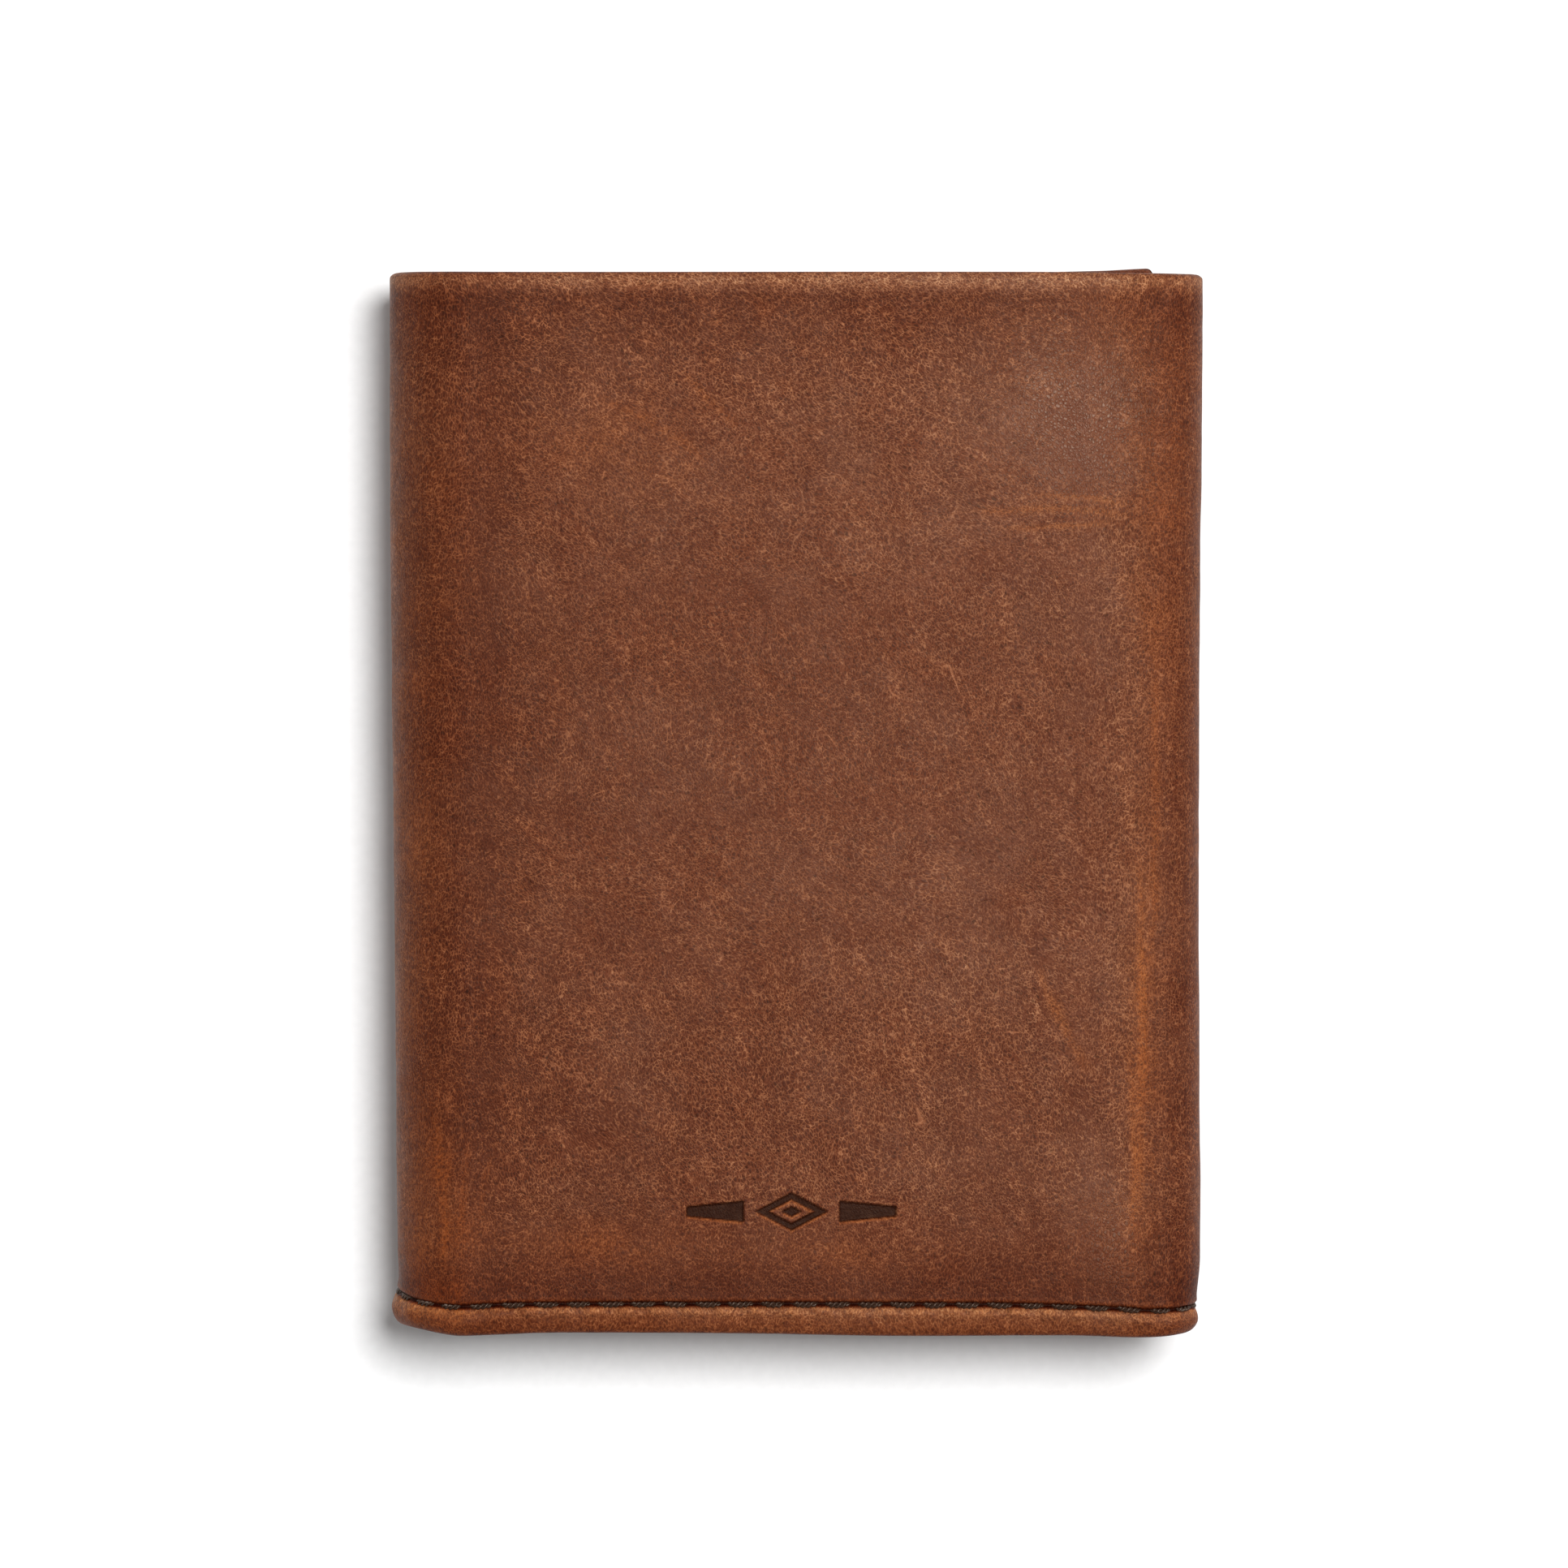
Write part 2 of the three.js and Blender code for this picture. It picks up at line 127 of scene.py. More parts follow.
# How much narrower each fold is than its full radius, up the wallet: (y, narrowing).
LEFT_TAPER = ((-54, 0), (-52.3, -0.1), (-50.3, 0.45), (-46, 0.38), (54, -0.42))
RIGHT_TAPER = ((-54, 0.3), (-52.4, 0.2), (-50.8, 0.3), (-46.5, -0.1), (-25, 0), (10, 0), (54, -0.36))
BACK_SKEW = 0.019
# The centre panel's swell: its height, its unevenness and how far in it takes to rise.
SWELL = 0.3
SWELL_UNEVEN, SWELL_LUMPS = 0.14, 16
SWELL_SIDES, SWELL_HEM, SWELL_TOP = 14, 22, 14
NOISE_TABLE = 64


def eased(x, points):
    """A smooth curve through (x, value) points, level at its ends."""
    at, values = np.array(points, float).T
    slopes = np.zeros(len(at))
    slopes[1:-1] = (values[2:] - values[:-2]) / (at[2:] - at[:-2])
    k = np.clip(np.searchsorted(at, x) - 1, 0, len(at) - 2)
    gap = at[k + 1] - at[k]
    t = np.clip((x - at[k]) / gap, 0, 1)
    curve = values[k] + (values[k + 1] - values[k]) * step(t)
    return curve + gap * t * (1 - t) * ((1 - t) * slopes[k] - t * slopes[k + 1])


def step(t):
    """0 below 0, 1 above 1, and smooth between them."""
    t = np.clip(t, 0, 1)
    return t * t * (3 - 2 * t)


def near(x, middle, width):
    """1 at middle, falling off over width."""
    return np.exp(-(((x - middle) / width) ** 2))


def noise(s, y, size, seed):
    """Smooth noise from -1 to 1, in lumps about size across."""
    table = np.random.default_rng(seed).uniform(-1, 1, (NOISE_TABLE, NOISE_TABLE))
    a, b = s / size + 0.5, y / size + 0.5
    i, j = np.floor(a).astype(int), np.floor(b).astype(int)
    u, v = step(a - i), step(b - j)

    def corner(di, dj):
        return table[(i + di) % NOISE_TABLE, (j + dj) % NOISE_TABLE]

    lower = corner(0, 0) * (1 - u) + corner(1, 0) * u
    upper = corner(0, 1) * (1 - u) + corner(1, 1) * u
    return lower * (1 - v) + upper * v


def swell(s, y):
    """How far the middle of the centre panel lifts."""
    across = step((s - LEFT.x) / SWELL_SIDES + 0.5) * step((RIGHT.x - s) / SWELL_SIDES + 0.5)
    along = step((y + HALF_HEIGHT) / SWELL_HEM) * step((HALF_HEIGHT - y) / SWELL_TOP)
    return across * along * (SWELL + SWELL_UNEVEN * noise(s, y, SWELL_LUMPS, 3))


def rise(s, y):
    """How far a point moves up with the wander of the seam, the bottom edge or the top edge."""
    seam, hem = eased(s, SEAM_RISE), eased(s, HEM_RISE)
    sewn = step((RISE_STARTS - y) / (RISE_STARTS - SEAM_Y)) * seam
    below = np.clip((SEAM_Y - y) / (SEAM_Y + HALF_HEIGHT), 0, 1) * (hem - seam)
    above = step((y - TOP_RISE_STARTS) / (HALF_HEIGHT - TOP_RISE_STARTS)) * eased(s, TOP_RISE)
    return sewn + below + above


def place(s, y, depth):
    """The point at s and y, depth under the hide's outer face, in millimetres."""
    s, y, depth = np.broadcast_arrays(np.asarray(s, float), y, depth)
    left = s < 0
    x0, z0 = np.where(left, LEFT.x, RIGHT.x), np.where(left, LEFT.z, RIGHT.z)
    r, side = np.where(left, LEFT.r, RIGHT.r), np.where(left, LEFT.side, RIGHT.side)
    past = side * (s - x0)
    turn = np.clip(past / r, 0, math.pi)
    before, beyond = np.minimum(past, 0), np.maximum(past - math.pi * r, 0)
    taper = np.where(left, eased(y, LEFT_TAPER), eased(y, RIGHT_TAPER))
    out = r - depth
    x = x0 + side * (before + (out - taper) * np.sin(turn) - beyond)
    z = z0 + (out + swell(s, y)) * np.cos(turn)
    skew = BACK_SKEW * np.where(left, beyond, 0)
    return np.stack([x, y + (rise(s, y) + skew), z], -1)


# ---- meshes


def stations(*spans):
    """Stations along a line, from (start, end, step) spans that follow on."""
    runs = [np.linspace(a, b, max(2, round(abs(b - a) / gap) + 1))[:-1] for a, b, gap in spans]
    return np.concatenate([*runs, [spans[-1][1]]])


def make_object(name, points, faces, material, corner_uv, normals=None, values=None):
    """A mesh object from points in millimetres, with its flat coordinates as a UV map."""
    mesh = bpy.data.meshes.new(name)
    mesh.from_pydata((points.reshape(-1, 3) * MM).tolist(), [], faces)
    mesh.polygons.foreach_set("use_smooth", np.ones(len(mesh.polygons), bool))
    mesh.uv_layers.new(name="rest").data.foreach_set("uv", np.asarray(corner_uv, np.float32).ravel())
    for key, value in (values or {}).items():
        mesh.attributes.new(key, "FLOAT", "POINT").data.foreach_set("value", value.astype(np.float32))
    mesh.materials.append(material)
    mesh.validate()
    if normals is not None:
        mesh.normals_split_custom_set_from_vertices(normals.tolist())
    obj = bpy.data.objects.new(name, mesh)
    bpy.context.scene.collection.objects.link(obj)
    return obj


def grid_normals(points):
    """Outward normals of a grid of points, whose second direction is a closed loop."""
    along = np.gradient(points, axis=0)
    round_loop = np.roll(points, -1, 1) - np.roll(points, 1, 1)
    n = np.cross(along, round_loop)
    return n / np.maximum(np.linalg.norm(n, axis=-1, keepdims=True), 1e-12)


def tube_faces(count, loop):
    """Quads of count loops joined in a row, with a cap on each end."""
    i, j = np.meshgrid(np.arange(count - 1), np.arange(loop), indexing="ij")
    i, j = i.ravel(), j.ravel()
    k = (j + 1) % loop
    quads = np.stack([i * loop + j, (i + 1) * loop + j, (i + 1) * loop + k, i * loop + k], -1)
    first = list(range(loop))
    last = list(range(count * loop - 1, (count - 1) * loop - 1, -1))
    return i, j, quads, [first, last]


def ply(name, s, y_out, y_in, outer, inner, material, slot, cuts=(), extra=None):
    """A ply as a closed tube of loops, one loop at each s: up its outer face at y_out and down its inner
    face at y_in. outer and inner give the depth there. It is cut across at cuts, and returns its pieces."""
    loop_y = np.concatenate([y_out, y_in[::-1]])
    is_outer = np.arange(len(loop_y)) < len(y_out)
    grid_s, grid_y = np.meshgrid(s, loop_y, indexing="ij")
    depth = np.where(is_outer, outer(grid_s, grid_y), inner(grid_s, grid_y))
    points = place(grid_s, trimmed(grid_s, grid_y, s[0], s[-1]), depth)
    normals = grid_normals(points)
    run = run_round(loop_y, depth[len(s) // 2])
    values = {key: value * is_outer for key, value in extra(grid_s, grid_y).items()} if extra else {}
    ends = [0, *[int(np.argmin(abs(s - cut))) for cut in cuts], len(s) - 1]
    pieces = []
    for part, a, b in zip(name if cuts else [name], ends[:-1], ends[1:]):
        own = slice(a, b + 1)
        faces, corner_uv = stretch_faces(s[own], loop_y, run, depth[own])
        pieces.append(make_object(
            part, points[own], faces, material, corner_uv, normals[own].reshape(-1, 3),
            {key: value[own].ravel() for key, value in values.items()}))
    return pieces


def run_round(loop_y, depth):
    """Distances round one loop of a ply, from its first point until it is back there."""
    sizes = np.hypot(np.diff(loop_y, append=loop_y[0]), np.diff(depth, append=depth[0]))
    return np.concatenate([[0], np.cumsum(sizes)]) + loop_y[0]


def stretch_faces(s, loop_y, run, depth):
    """A stretch of a ply's faces, and the flat coordinates of their corners."""
    i, j, quads, caps = tube_faces(len(s), len(loop_y))
    corners = ((i, j), (i + 1, j), (i + 1, j + 1), (i, j + 1))
    quad_uv = np.stack([np.stack([s[a], run[b]], -1) for a, b in corners], 1).reshape(-1, 2)
    first_cap = np.stack([depth[0] + s[0], loop_y], -1)
    last_cap = np.stack([depth[-1] + s[-1], loop_y], -1)[::-1]
    return quads.tolist() + caps, np.concatenate([quad_uv, first_cap, last_cap])


def trimmed(s, y, first, last):
    """Draws y in where a free edge's corners are rounded."""
    gap = np.full(np.shape(s), CORNER)
    for edge in (BACK_EDGE, INNER_EDGE):
        if min(abs(first - edge), abs(last - edge)) < CORNER:
            gap = np.minimum(gap, abs(s - edge))
    cut = CORNER - np.sqrt(np.maximum(CORNER**2 - (CORNER - gap) ** 2, 0))
    return y - cut * step((abs(y) - CORNER_STARTS) / (HALF_HEIGHT - CORNER_STARTS)) * np.sign(y)


# ---- the hide


def edge_gaps(s, y):
    """Distances to the top edge, the bottom edge and the nearest free edge."""
    return HALF_HEIGHT - y, HALF_HEIGHT + y, np.minimum(s - BACK_EDGE, INNER_EDGE - s)


# How far past the centre panel its flat look reaches, and the width it fades over.
FLAT_LEFT, FLAT_RIGHT, FLAT_FADE = 1, 2, 6


def flatness(s):
    """1 on the flat of the centre panel and 0 round its folds."""
    return step((s - LEFT.x + FLAT_LEFT) / FLAT_FADE) * step((RIGHT.x + FLAT_RIGHT - s) / FLAT_FADE)


def roundness(s, y, top, hem, edge):
    """1 away from the edges, falling to 0 at them over the given lengths, as an ellipse does."""
    to_top, to_hem, to_edge = edge_gaps(s, y)
    u = np.maximum(np.maximum(1 - to_top / top, 1 - to_hem / hem), 0)
    v = np.maximum(1 - to_edge / edge, 0)
    return np.sqrt(np.maximum(1 - u * u - v * v, 0))


LINE_WOBBLE = 0.25
LINE_FADE = 0.25


def line_mark(s, y, start, end, bow, width):
    """1 along a line from start to end that bows sideways, fading at its ends."""
    (s0, y0), (s1, y1) = start, end
    length = math.hypot(s1 - s0, y1 - y0)
    ds, dy = (s1 - s0) / length, (y1 - y0) / length
    t = ((s - s0) * ds + (y - y0) * dy) / length
    bowed = bow * np.sin(math.pi * t)
    off = (y - y0) * ds - (s - s0) * dy - bowed - LINE_WOBBLE * noise(s, y, 2.5, 8)
    return near(off, 0, width) * step(t / LINE_FADE) * step((1 - t) / LINE_FADE)


# Creases in the leather: (start, end, bow, width), with start and end as (s, y).
CREASES = (
    ((16.5, 29.6), (35.5, 29.3), 0.5, 0.16),
    ((20, 28.2), (34, 28.9), -0.3, 0.14),
    ((23, 31.2), (35, 30.3), 0.3, 0.14),
    ((26, -18), (30, -28), -0.4, 0.2),
    ((24.5, -16), (28, -24), -0.3, 0.16),
    ((34.6, -3), (35.4, -32), 0.3, 0.2),
    ((35.7, -12), (35.0, -46), -0.3, 0.22),
    ((33.7, -24), (34.5, -47), 0.2, 0.16),
    ((36.6, 18), (36.2, -20), 0.2, 0.2),
    ((-37.2, -30), (-36.2, -48), 0.3, 0.2),
    ((-35.4, -34), (-35.9, -48.5), -0.2, 0.16),
    ((-33.4, -33), (-34.7, -45), 0.2, 0.13),
    ((-31.0, -35), (-32.0, -43), -0.2, 0.12),
    ((-35.1, -46.8), (-34.3, -53.4), 0.1, 0.15),
    ((-34.3, -48.0), (-33.8, -53.0), -0.1, 0.12),
    ((-22, 42), (-8, 34), 0.8, 0.16),
    ((-12, 45), (-5, 38), -0.6, 0.14),
)
# The pressed ornament: its middle, depth and walls, the lozenge's half-sizes, its ring and core as shares of
# them, and the bars' reach and half-height.
MARK_S, MARK_Y = -0.45, -41.5
MARK_DEPTH, MARK_WALL = 0.32, 0.14
LOZENGE_S, LOZENGE_Y = 3.8, 2.0
RING, CORE, LOZENGE_SLOPE = 0.56, 0.3, 1.8
BAR_START, BAR_END, BAR_HALF, BAR_TAPER = 4.8, 10.75, 1.15, 0.1
# Where a wrapped ply is cut into pieces.
CUTS = (LEFT_MIDDLE, MARK_S, RIGHT_MIDDLE)


def mark_shape(s, y):
    """1 inside the debossed ornament: a lozenge between two tapered bars."""
    x, h = abs(s - MARK_S), abs(y - MARK_Y)
    out = x / LOZENGE_S + h / LOZENGE_Y
    ring = np.minimum((1 - out) * LOZENGE_SLOPE, (out - RING) * LOZENGE_SLOPE)
    core = (CORE - out) * LOZENGE_SLOPE
    half = BAR_HALF - BAR_TAPER * (x - BAR_START)
    bar = np.minimum(half - h, np.minimum(x - BAR_START, BAR_END - x))
    return step(np.maximum(np.maximum(ring, core), bar) / MARK_WALL)


PRESS_STARTS = 4
PRESSED_FLAT = 0.03


def on_back(s):
    """1 on the back flap, which the wallet's own weight presses flat, and 0 from the left fold on."""
    return step((LEFT_END + PRESS_STARTS - s) / PRESS_STARTS)


def between_stitches(s):
    """1 half way between two hem stitches and 0 at the middle of each."""
    return 0.5 - 0.5 * np.cos(2 * math.pi * (s - FIRST_STITCH) / PITCH)


# The hem seam's groove, steeper above the thread, and the roll under it, which swells between stitches and
# moves down round the folds.
GROOVE_DEPTH, GROOVE_EASE = 0.55, 0.08
GROOVE_ABOVE, GROOVE_BELOW, GROOVE_PINCH = 0.2, 0.56, 0.4
ROLL_OFF, ROLL_SHIFT = -0.78, 0.8
ROLL_HEIGHT, ROLL_SWELL, ROLL_AT_FOLDS = 0.14, 0.28, 0.45
ROLL_WIDTH, ROLL_SPREAD = 0.5, 0.4
# The hollow under the turned top edge and the ridge above it: (depth under the edge, height, width).
TOP_HOLLOW, TOP_RIDGE = (3.1, -0.12, 0.9), (1.7, 0.04, 0.8)
# The groove of each free edge's seam, and where it starts and ends.
EDGE_GROOVE, EDGE_GROOVE_WIDTH = 0.3, 0.35
GROOVE_LOW, GROOVE_HIGH = -50, 51.5
CREASE_DEPTH = 0.05
DENTS = ((0.035, 6, 5), (0.02, 2.6, 6), (0.012, 1.3, 7))
LIP_HEIGHT, LIP_SHIFT = 0.03, 0.16


def hem_relief(s, off):
    """The hem seam's groove and roll, off above the seam."""
    between, flat = between_stitches(s), flatness(s)
    below = near(off, 0, GROOVE_BELOW - GROOVE_PINCH * between)
    groove = -(GROOVE_DEPTH - GROOVE_EASE * between) * np.where(off > 0, near(off, 0, GROOVE_ABOVE), below)
    crown = ROLL_OFF - ROLL_SHIFT * (1 - flat)
    height = (ROLL_HEIGHT + ROLL_SWELL * between) * (ROLL_AT_FOLDS + (1 - ROLL_AT_FOLDS) * flat)
    roll = height * near(off, crown, ROLL_WIDTH - ROLL_SPREAD * (crown - ROLL_OFF))
    return groove + roll + 0.06 * near(off, 0.5, 0.4) * (1 - between)


def relief(s, y):
    """How far the hide's outer face stands proud of its plain shape."""
    to_top, to_hem, to_edge = edge_gaps(s, y)
    band = sum(height * near(to_top, at, width) for at, height, width in (TOP_HOLLOW, TOP_RIDGE))
    sewn = step((y - GROOVE_LOW) / 1.5) * step(GROOVE_HIGH - y)
    edge_groove = EDGE_GROOVE * near(to_edge, EDGE_SEAM, EDGE_GROOVE_WIDTH) * sewn
    creases = CREASE_DEPTH * sum(line_mark(s, y, *crease) for crease in CREASES)
    dents = sum(height * noise(s, y, size, seed) for height, size, seed in DENTS)
    calm = step(to_hem / 1.5) * step(to_top)
    stamped = mark_shape(s, y)
    pressed = LIP_HEIGHT * near(mark_shape(s, y - LIP_SHIFT) - stamped, 1, 0.6) - MARK_DEPTH * stamped
    proud = hem_relief(s, y - SEAM_Y) + band * flatness(s) - edge_groove - creases + dents
    return np.minimum(proud * calm + pressed, PRESSED_FLAT + 1 - on_back(s))


def hide_outer(s, y):
    """The depth of the hide's outer face."""
    top = FOLD_TOP_ROUND + (TOP_ROUND - FOLD_TOP_ROUND) * flatness(s)
    hem = FOLD_HEM_ROUND + (HEM_ROUND - FOLD_HEM_ROUND) * flatness(s)
    outside = roundness(s, y, top, hem, EDGE_ROUND)
    return TURNED / 2 * (1 - outside) - relief(s, y) * outside


def hide_inner(s, y):
    """The depth of the hide's inner face, which is deeper where the edges are turned in."""
    to_top, to_hem, to_edge = edge_gaps(s, y)
    gap = np.minimum(np.minimum(to_top, to_hem), to_edge)
    back = SHELL + (TURNED - SHELL) * step((TURN_IN + 0.25 - gap) / 0.3)
    half = TURNED / 2
    return half + (back - half) * roundness(s, y, half, half, EDGE_ROUND)


# Painted light and shade across and along the panel: (s or y, lightness). Across: a painted reflection at
# the left fold's rim, painted shade over the left fold's curve and a dip of painted shade on the right fold.
# Along: painted highlights on the hem's roll and the top roll, and painted shade under the hem's roll, above
# the seam and in the valley below the top roll.
LIGHT_AND_SHADE_ACROSS = ((-128, 0), (-60, 0), (-47, 0.25), (-44.5, 0.2), (-42, -0.1), (-39, -0.4), (-35, -0.5),
               (-31, -0.46), (-27, -0.26), (-22, -0.14), (-10, -0.08), (0, -0.02), (12, 0.08), (20, 0.02),
               (31, 0.12), (34, 0.06), (37.5, -0.22), (40, -0.24), (42, -0.1), (44, 0.05), (46, 0.05),
               (52, 0), (108, 0))
LIGHT_AND_SHADE_ALONG = ((-54, -0.5), (-53.4, -0.3), (-52.9, -0.2), (-52.4, 0.05), (-52, 0.3), (-51.5, 0.5),
              (-51.1, 0.2), (-50.7, -0.6), (-49.5, -0.74), (-47.5, -0.52), (-45.4, -0.32), (-41, -0.14),
              (-30, -0.12), (-18, 0), (6, -0.04), (14, -0.06), (24, 0.06), (38, 0.06), (44, -0.06),
              (48.5, -0.24), (50.3, -0.34), (51.3, -0.34), (52.3, 0.18), (53, 0.6), (53.5, 0.5), (54, 0.2))
# Soft patches: (s, y, width, height, amount). ALL is as high as the wallet.
ALL = math.inf
RUBBED = ((-37, -42, 3.2, 9, 0.65), (-39, -5, 2.5, 30, 0.25), (-18, -45, 9, 2.5, 0.5),
          (35.4, -26, 2, 20, 0.6), (37, 26, 3, 26, 0.5), (-20, 36, 10, 5, 0.3), (34, 50, 6, 3, 0.2),
          (4, -46, 9, 2, 0.35), (-36, 30, 3, 8, 0.3), (-37, -46, 6, 6, 0.55), (-43.5, -10, 4.5, 60, 0.7),
          (44.5, 0, 2.5, 60, 0.6))
# Painted sheen: greyish highlights where the upper right and lower right of the panel curve to the light, a
# faint broad sheen over the middle, and painted reflections along both fold rims.
SHEEN_PATCHES = ((29, 40, 7, 8, 1.15), (31.5, -43.5, 3.5, 5, 0.7), (-43, 0, 5, ALL, 0.15),
             (43, 0, 2.5, ALL, 0.15), (0, 10, 24, 26, 0.14))
# Painted light and shade added to the lightness: a painted highlight at the upper right, painted shade down
# the right fold's upper half, and a lighter patch at the lower left that eases the painted shade there.
LIGHT_AND_SHADE_PATCHES = ((26, 43, 11, 7, 0.12), (36.5, 40, 3.5, 16, -0.28), (-36, -47, 9, 7, 0.25))
CREASE_SPREAD = 2.2
# How deep the painted shade in the hem seam's groove between the stitches is.
SEAM_GROOVE_SHADE = 4
MOST_RUBBED_AND_LIT = 1.2


def patches(s, y, rows):
    """A sum of soft patches."""
    return sum(amount * near(s, s0, wide) * near(y, y0, high) for s0, y0, wide, high, amount in rows)


def rubbed_and_lit_places(s, y):
    """Where the dye wears to orange: patches, creases, edges and the hem's roll; with painted highlights on
    the roll between the stitches and along the ornament's lower edges.
    """
    off = y - SEAM_Y
    creases = sum(line_mark(s, y, a, b, bow, width * CREASE_SPREAD) for a, b, bow, width in CREASES)
    rubbed = patches(s, y, RUBBED) * (0.75 + 0.5 * noise(s, y, 3.5, 12)) + 0.5 * creases
    rubbed += 0.4 * step((SEAM_Y - 0.1 - y) / 0.4) + 0.2 * step((y - 51.5) / 1.5)
    # A pale line just above the seam, and painted highlights on the hem's roll where it swells between the
    # stitches.
    rubbed += 0.35 * near(off, 0.35, 0.25) + 0.4 * between_stitches(s) * near(off, -0.55, 0.35)
    # Painted highlight along the lower edges of the pressed ornament.
    rubbed += 0.9 * np.clip(mark_shape(s, y + 0.28) - mark_shape(s, y), 0, 1)
    return np.clip(rubbed, 0, MOST_RUBBED_AND_LIT)


def light_and_tone_places(s, y):
    """Painted light and shade over the panel from the tables and patches, with painted shade in the hem
    seam's groove the darkest, and a faint random unevenness of the dye.
    """
    tone = eased(s, LIGHT_AND_SHADE_ACROSS) + eased(y, LIGHT_AND_SHADE_ALONG) - SEAM_GROOVE_SHADE * near(y - SEAM_Y, -0.04, 0.2)
    tone = tone + patches(s, y, LIGHT_AND_SHADE_PATCHES)
    return tone + 0.08 * noise(s, y, 11, 15) + 0.06 * noise(s, y, 4.5, 16)


def hide_colours(s, y):
    """What the hide's material reads. lean and upright turn its web, and crackle strengthens it."""
    lean = 0.3 + 0.6 * step((y - 16) / 16) + 0.3 * near(y, -8, 8) + 0.35 * noise(s, y, 13, 17)
    upright = np.maximum(step((abs(s + 1) - 27) / 7), step((-40 - y) / 6) * 0.7)
    crackle = 0.62 + 0.2 * step((-8 - y) / 20) + 0.25 * step((y - 36) / 8)
    crackle = crackle + 0.25 * step((-20 - s) / 12) + 0.1 * step((s - 30) / 5)
    # The first value carries painted light and shade, the second wear with painted highlights, and the third
    # painted sheen.
    return {"tone": light_and_tone_places(s, y), "rubbed": rubbed_and_lit_places(s, y), "pale": patches(s, y, SHEEN_PATCHES),
            "stamped": mark_shape(s, y), "lean": np.clip(lean, 0, 1), "upright": upright,
            "crackle": np.minimum(crackle, 1)}


SIDES = ("back", "left", "right", "inner")


def piece_names(ply_name):
    """The names of a wrapped ply's four pieces."""
    return [ply_name + end for end in ("_back", "_centre_left", "_centre_right", "_inner")]


def wrapped_nodes(flat, spine):
    """The two CAD nodes that each of four pieces in a row stands for."""
    row = ["back_" + flat, "left_spine_" + spine, "centre_" + flat, "right_spine_" + spine, "inner_" + flat]
    return list(zip(row[:-1], row[1:]))


def wrapped_ply(ply_name, flat, spine, *shape, **looks):
    """A ply that goes right round the wallet, in four pieces, each of which hides the two CAD nodes it
    stands for.
    """
    pieces = ply(piece_names(ply_name), *shape, cuts=CUTS, **looks)
    for piece, own, side in zip(pieces, wrapped_nodes(flat, spine), SIDES):
        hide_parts(*own)
        bend(piece)
    return pieces


def hide_stations():
    """s stations of the hide, close together at its free edges, its seen folds and the ornament."""
    a, b = BACK_EDGE, INNER_EDGE
    return stations(
        (a + 0.03, a + 1.4, 0.2), (a + 1.4, a + 6.6, 0.6), (a + 6.6, LEFT_END, 1.2),
        (LEFT_END, LEFT_MIDDLE, 0.6), (LEFT_MIDDLE, -32, 0.3), (-32, -12, 0.42), (-12, MARK_S, 0.13),
        (MARK_S, 11, 0.13), (11, 33, 0.42), (33, 37, 0.25), (37, RIGHT_MIDDLE, 0.2),
        (RIGHT_MIDDLE, RIGHT_END, 0.45), (RIGHT_END, b - 6.6, 1.2), (b - 6.6, b - 1.4, 0.6),
        (b - 1.4, b - 0.03, 0.2))


def hide_rows():
    """y rows of the hide's outer and inner faces, close together at its edges, hem seam and ornament."""
    h = HALF_HEIGHT
    outer = stations(
        (-h, -h + 0.3, 0.06), (-h + 0.3, -49.8, 0.13), (-49.8, -44, 0.5), (-44, -39, 0.125), (-39, 27, 0.66),
        (27, 32, 0.22), (32, 48, 0.66), (48, h - 0.5, 0.25), (h - 0.5, h, 0.06))
    inner = stations(
        (-h + 0.05, -h + 1, 0.12), (-h + 1, -h + 5.8, 1.2), (-h + 5.8, -h + 6.4, 0.15),
        (-h + 6.4, h - 6.4, 8), (h - 6.4, h - 5.8, 0.15), (h - 5.8, h - 1, 1.2), (h - 1, h - 0.05, 0.12))
    return outer, inner


def add_hide(material):
    wrapped_ply("hide", "shell", "leather", hide_stations(), *hide_rows(), hide_outer, hide_inner, material,
                "hide_leather", extra=hide_colours)


def bend(piece):
    """Bakes a piece's placement into its mesh."""
    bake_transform(piece)


# ---- linings and pocket panels


def layer_depths(near_depth, far_depth, s_ends, y_ends, rounding):
    """Depth functions of a flat ply whose edges are rounded off."""
    middle, half = (near_depth + far_depth) / 2, (far_depth - near_depth) / 2

    def fullness(s, y):
        gap = np.minimum(np.minimum(s - s_ends[0], s_ends[1] - s), np.minimum(y - y_ends[0], y_ends[1] - y))
        u = np.clip(1 - gap / rounding, 0, 0.97)
        return np.sqrt(1 - u * u)

    return (lambda s, y: middle - half * fullness(s, y)), (lambda s, y: middle + half * fullness(s, y))


LAYER_STEP = 2.2


def wrapped_s(edge_gap):
    """s stations from the back flap's free edge to the inner flap's, edge_gap short of each."""
    a, b = BACK_EDGE + edge_gap, INNER_EDGE - edge_gap
    return stations(
        (a, a + 0.4, 0.1), (a + 0.4, LEFT_END, LAYER_STEP), (LEFT_END, LEFT_MIDDLE, 0.7),
        (LEFT_MIDDLE, LEFT.x, 0.7), (LEFT.x, MARK_S, LAYER_STEP), (MARK_S, RIGHT.x, LAYER_STEP),
        (RIGHT.x, RIGHT_MIDDLE, 0.45), (RIGHT_MIDDLE, RIGHT_END, 0.45), (RIGHT_END, b - 0.4, LAYER_STEP),
        (b - 0.4, b, 0.1))


def edge_rows(low, high, gap):
    """Rows from low to high, close together at both ends."""
    return stations((low, low + 0.45, 0.09), (low + 0.45, low + 3, 0.5), (low + 3, high - 3, gap),
                    (high - 3, high - 0.45, 0.5), (high - 0.45, high, 0.09))


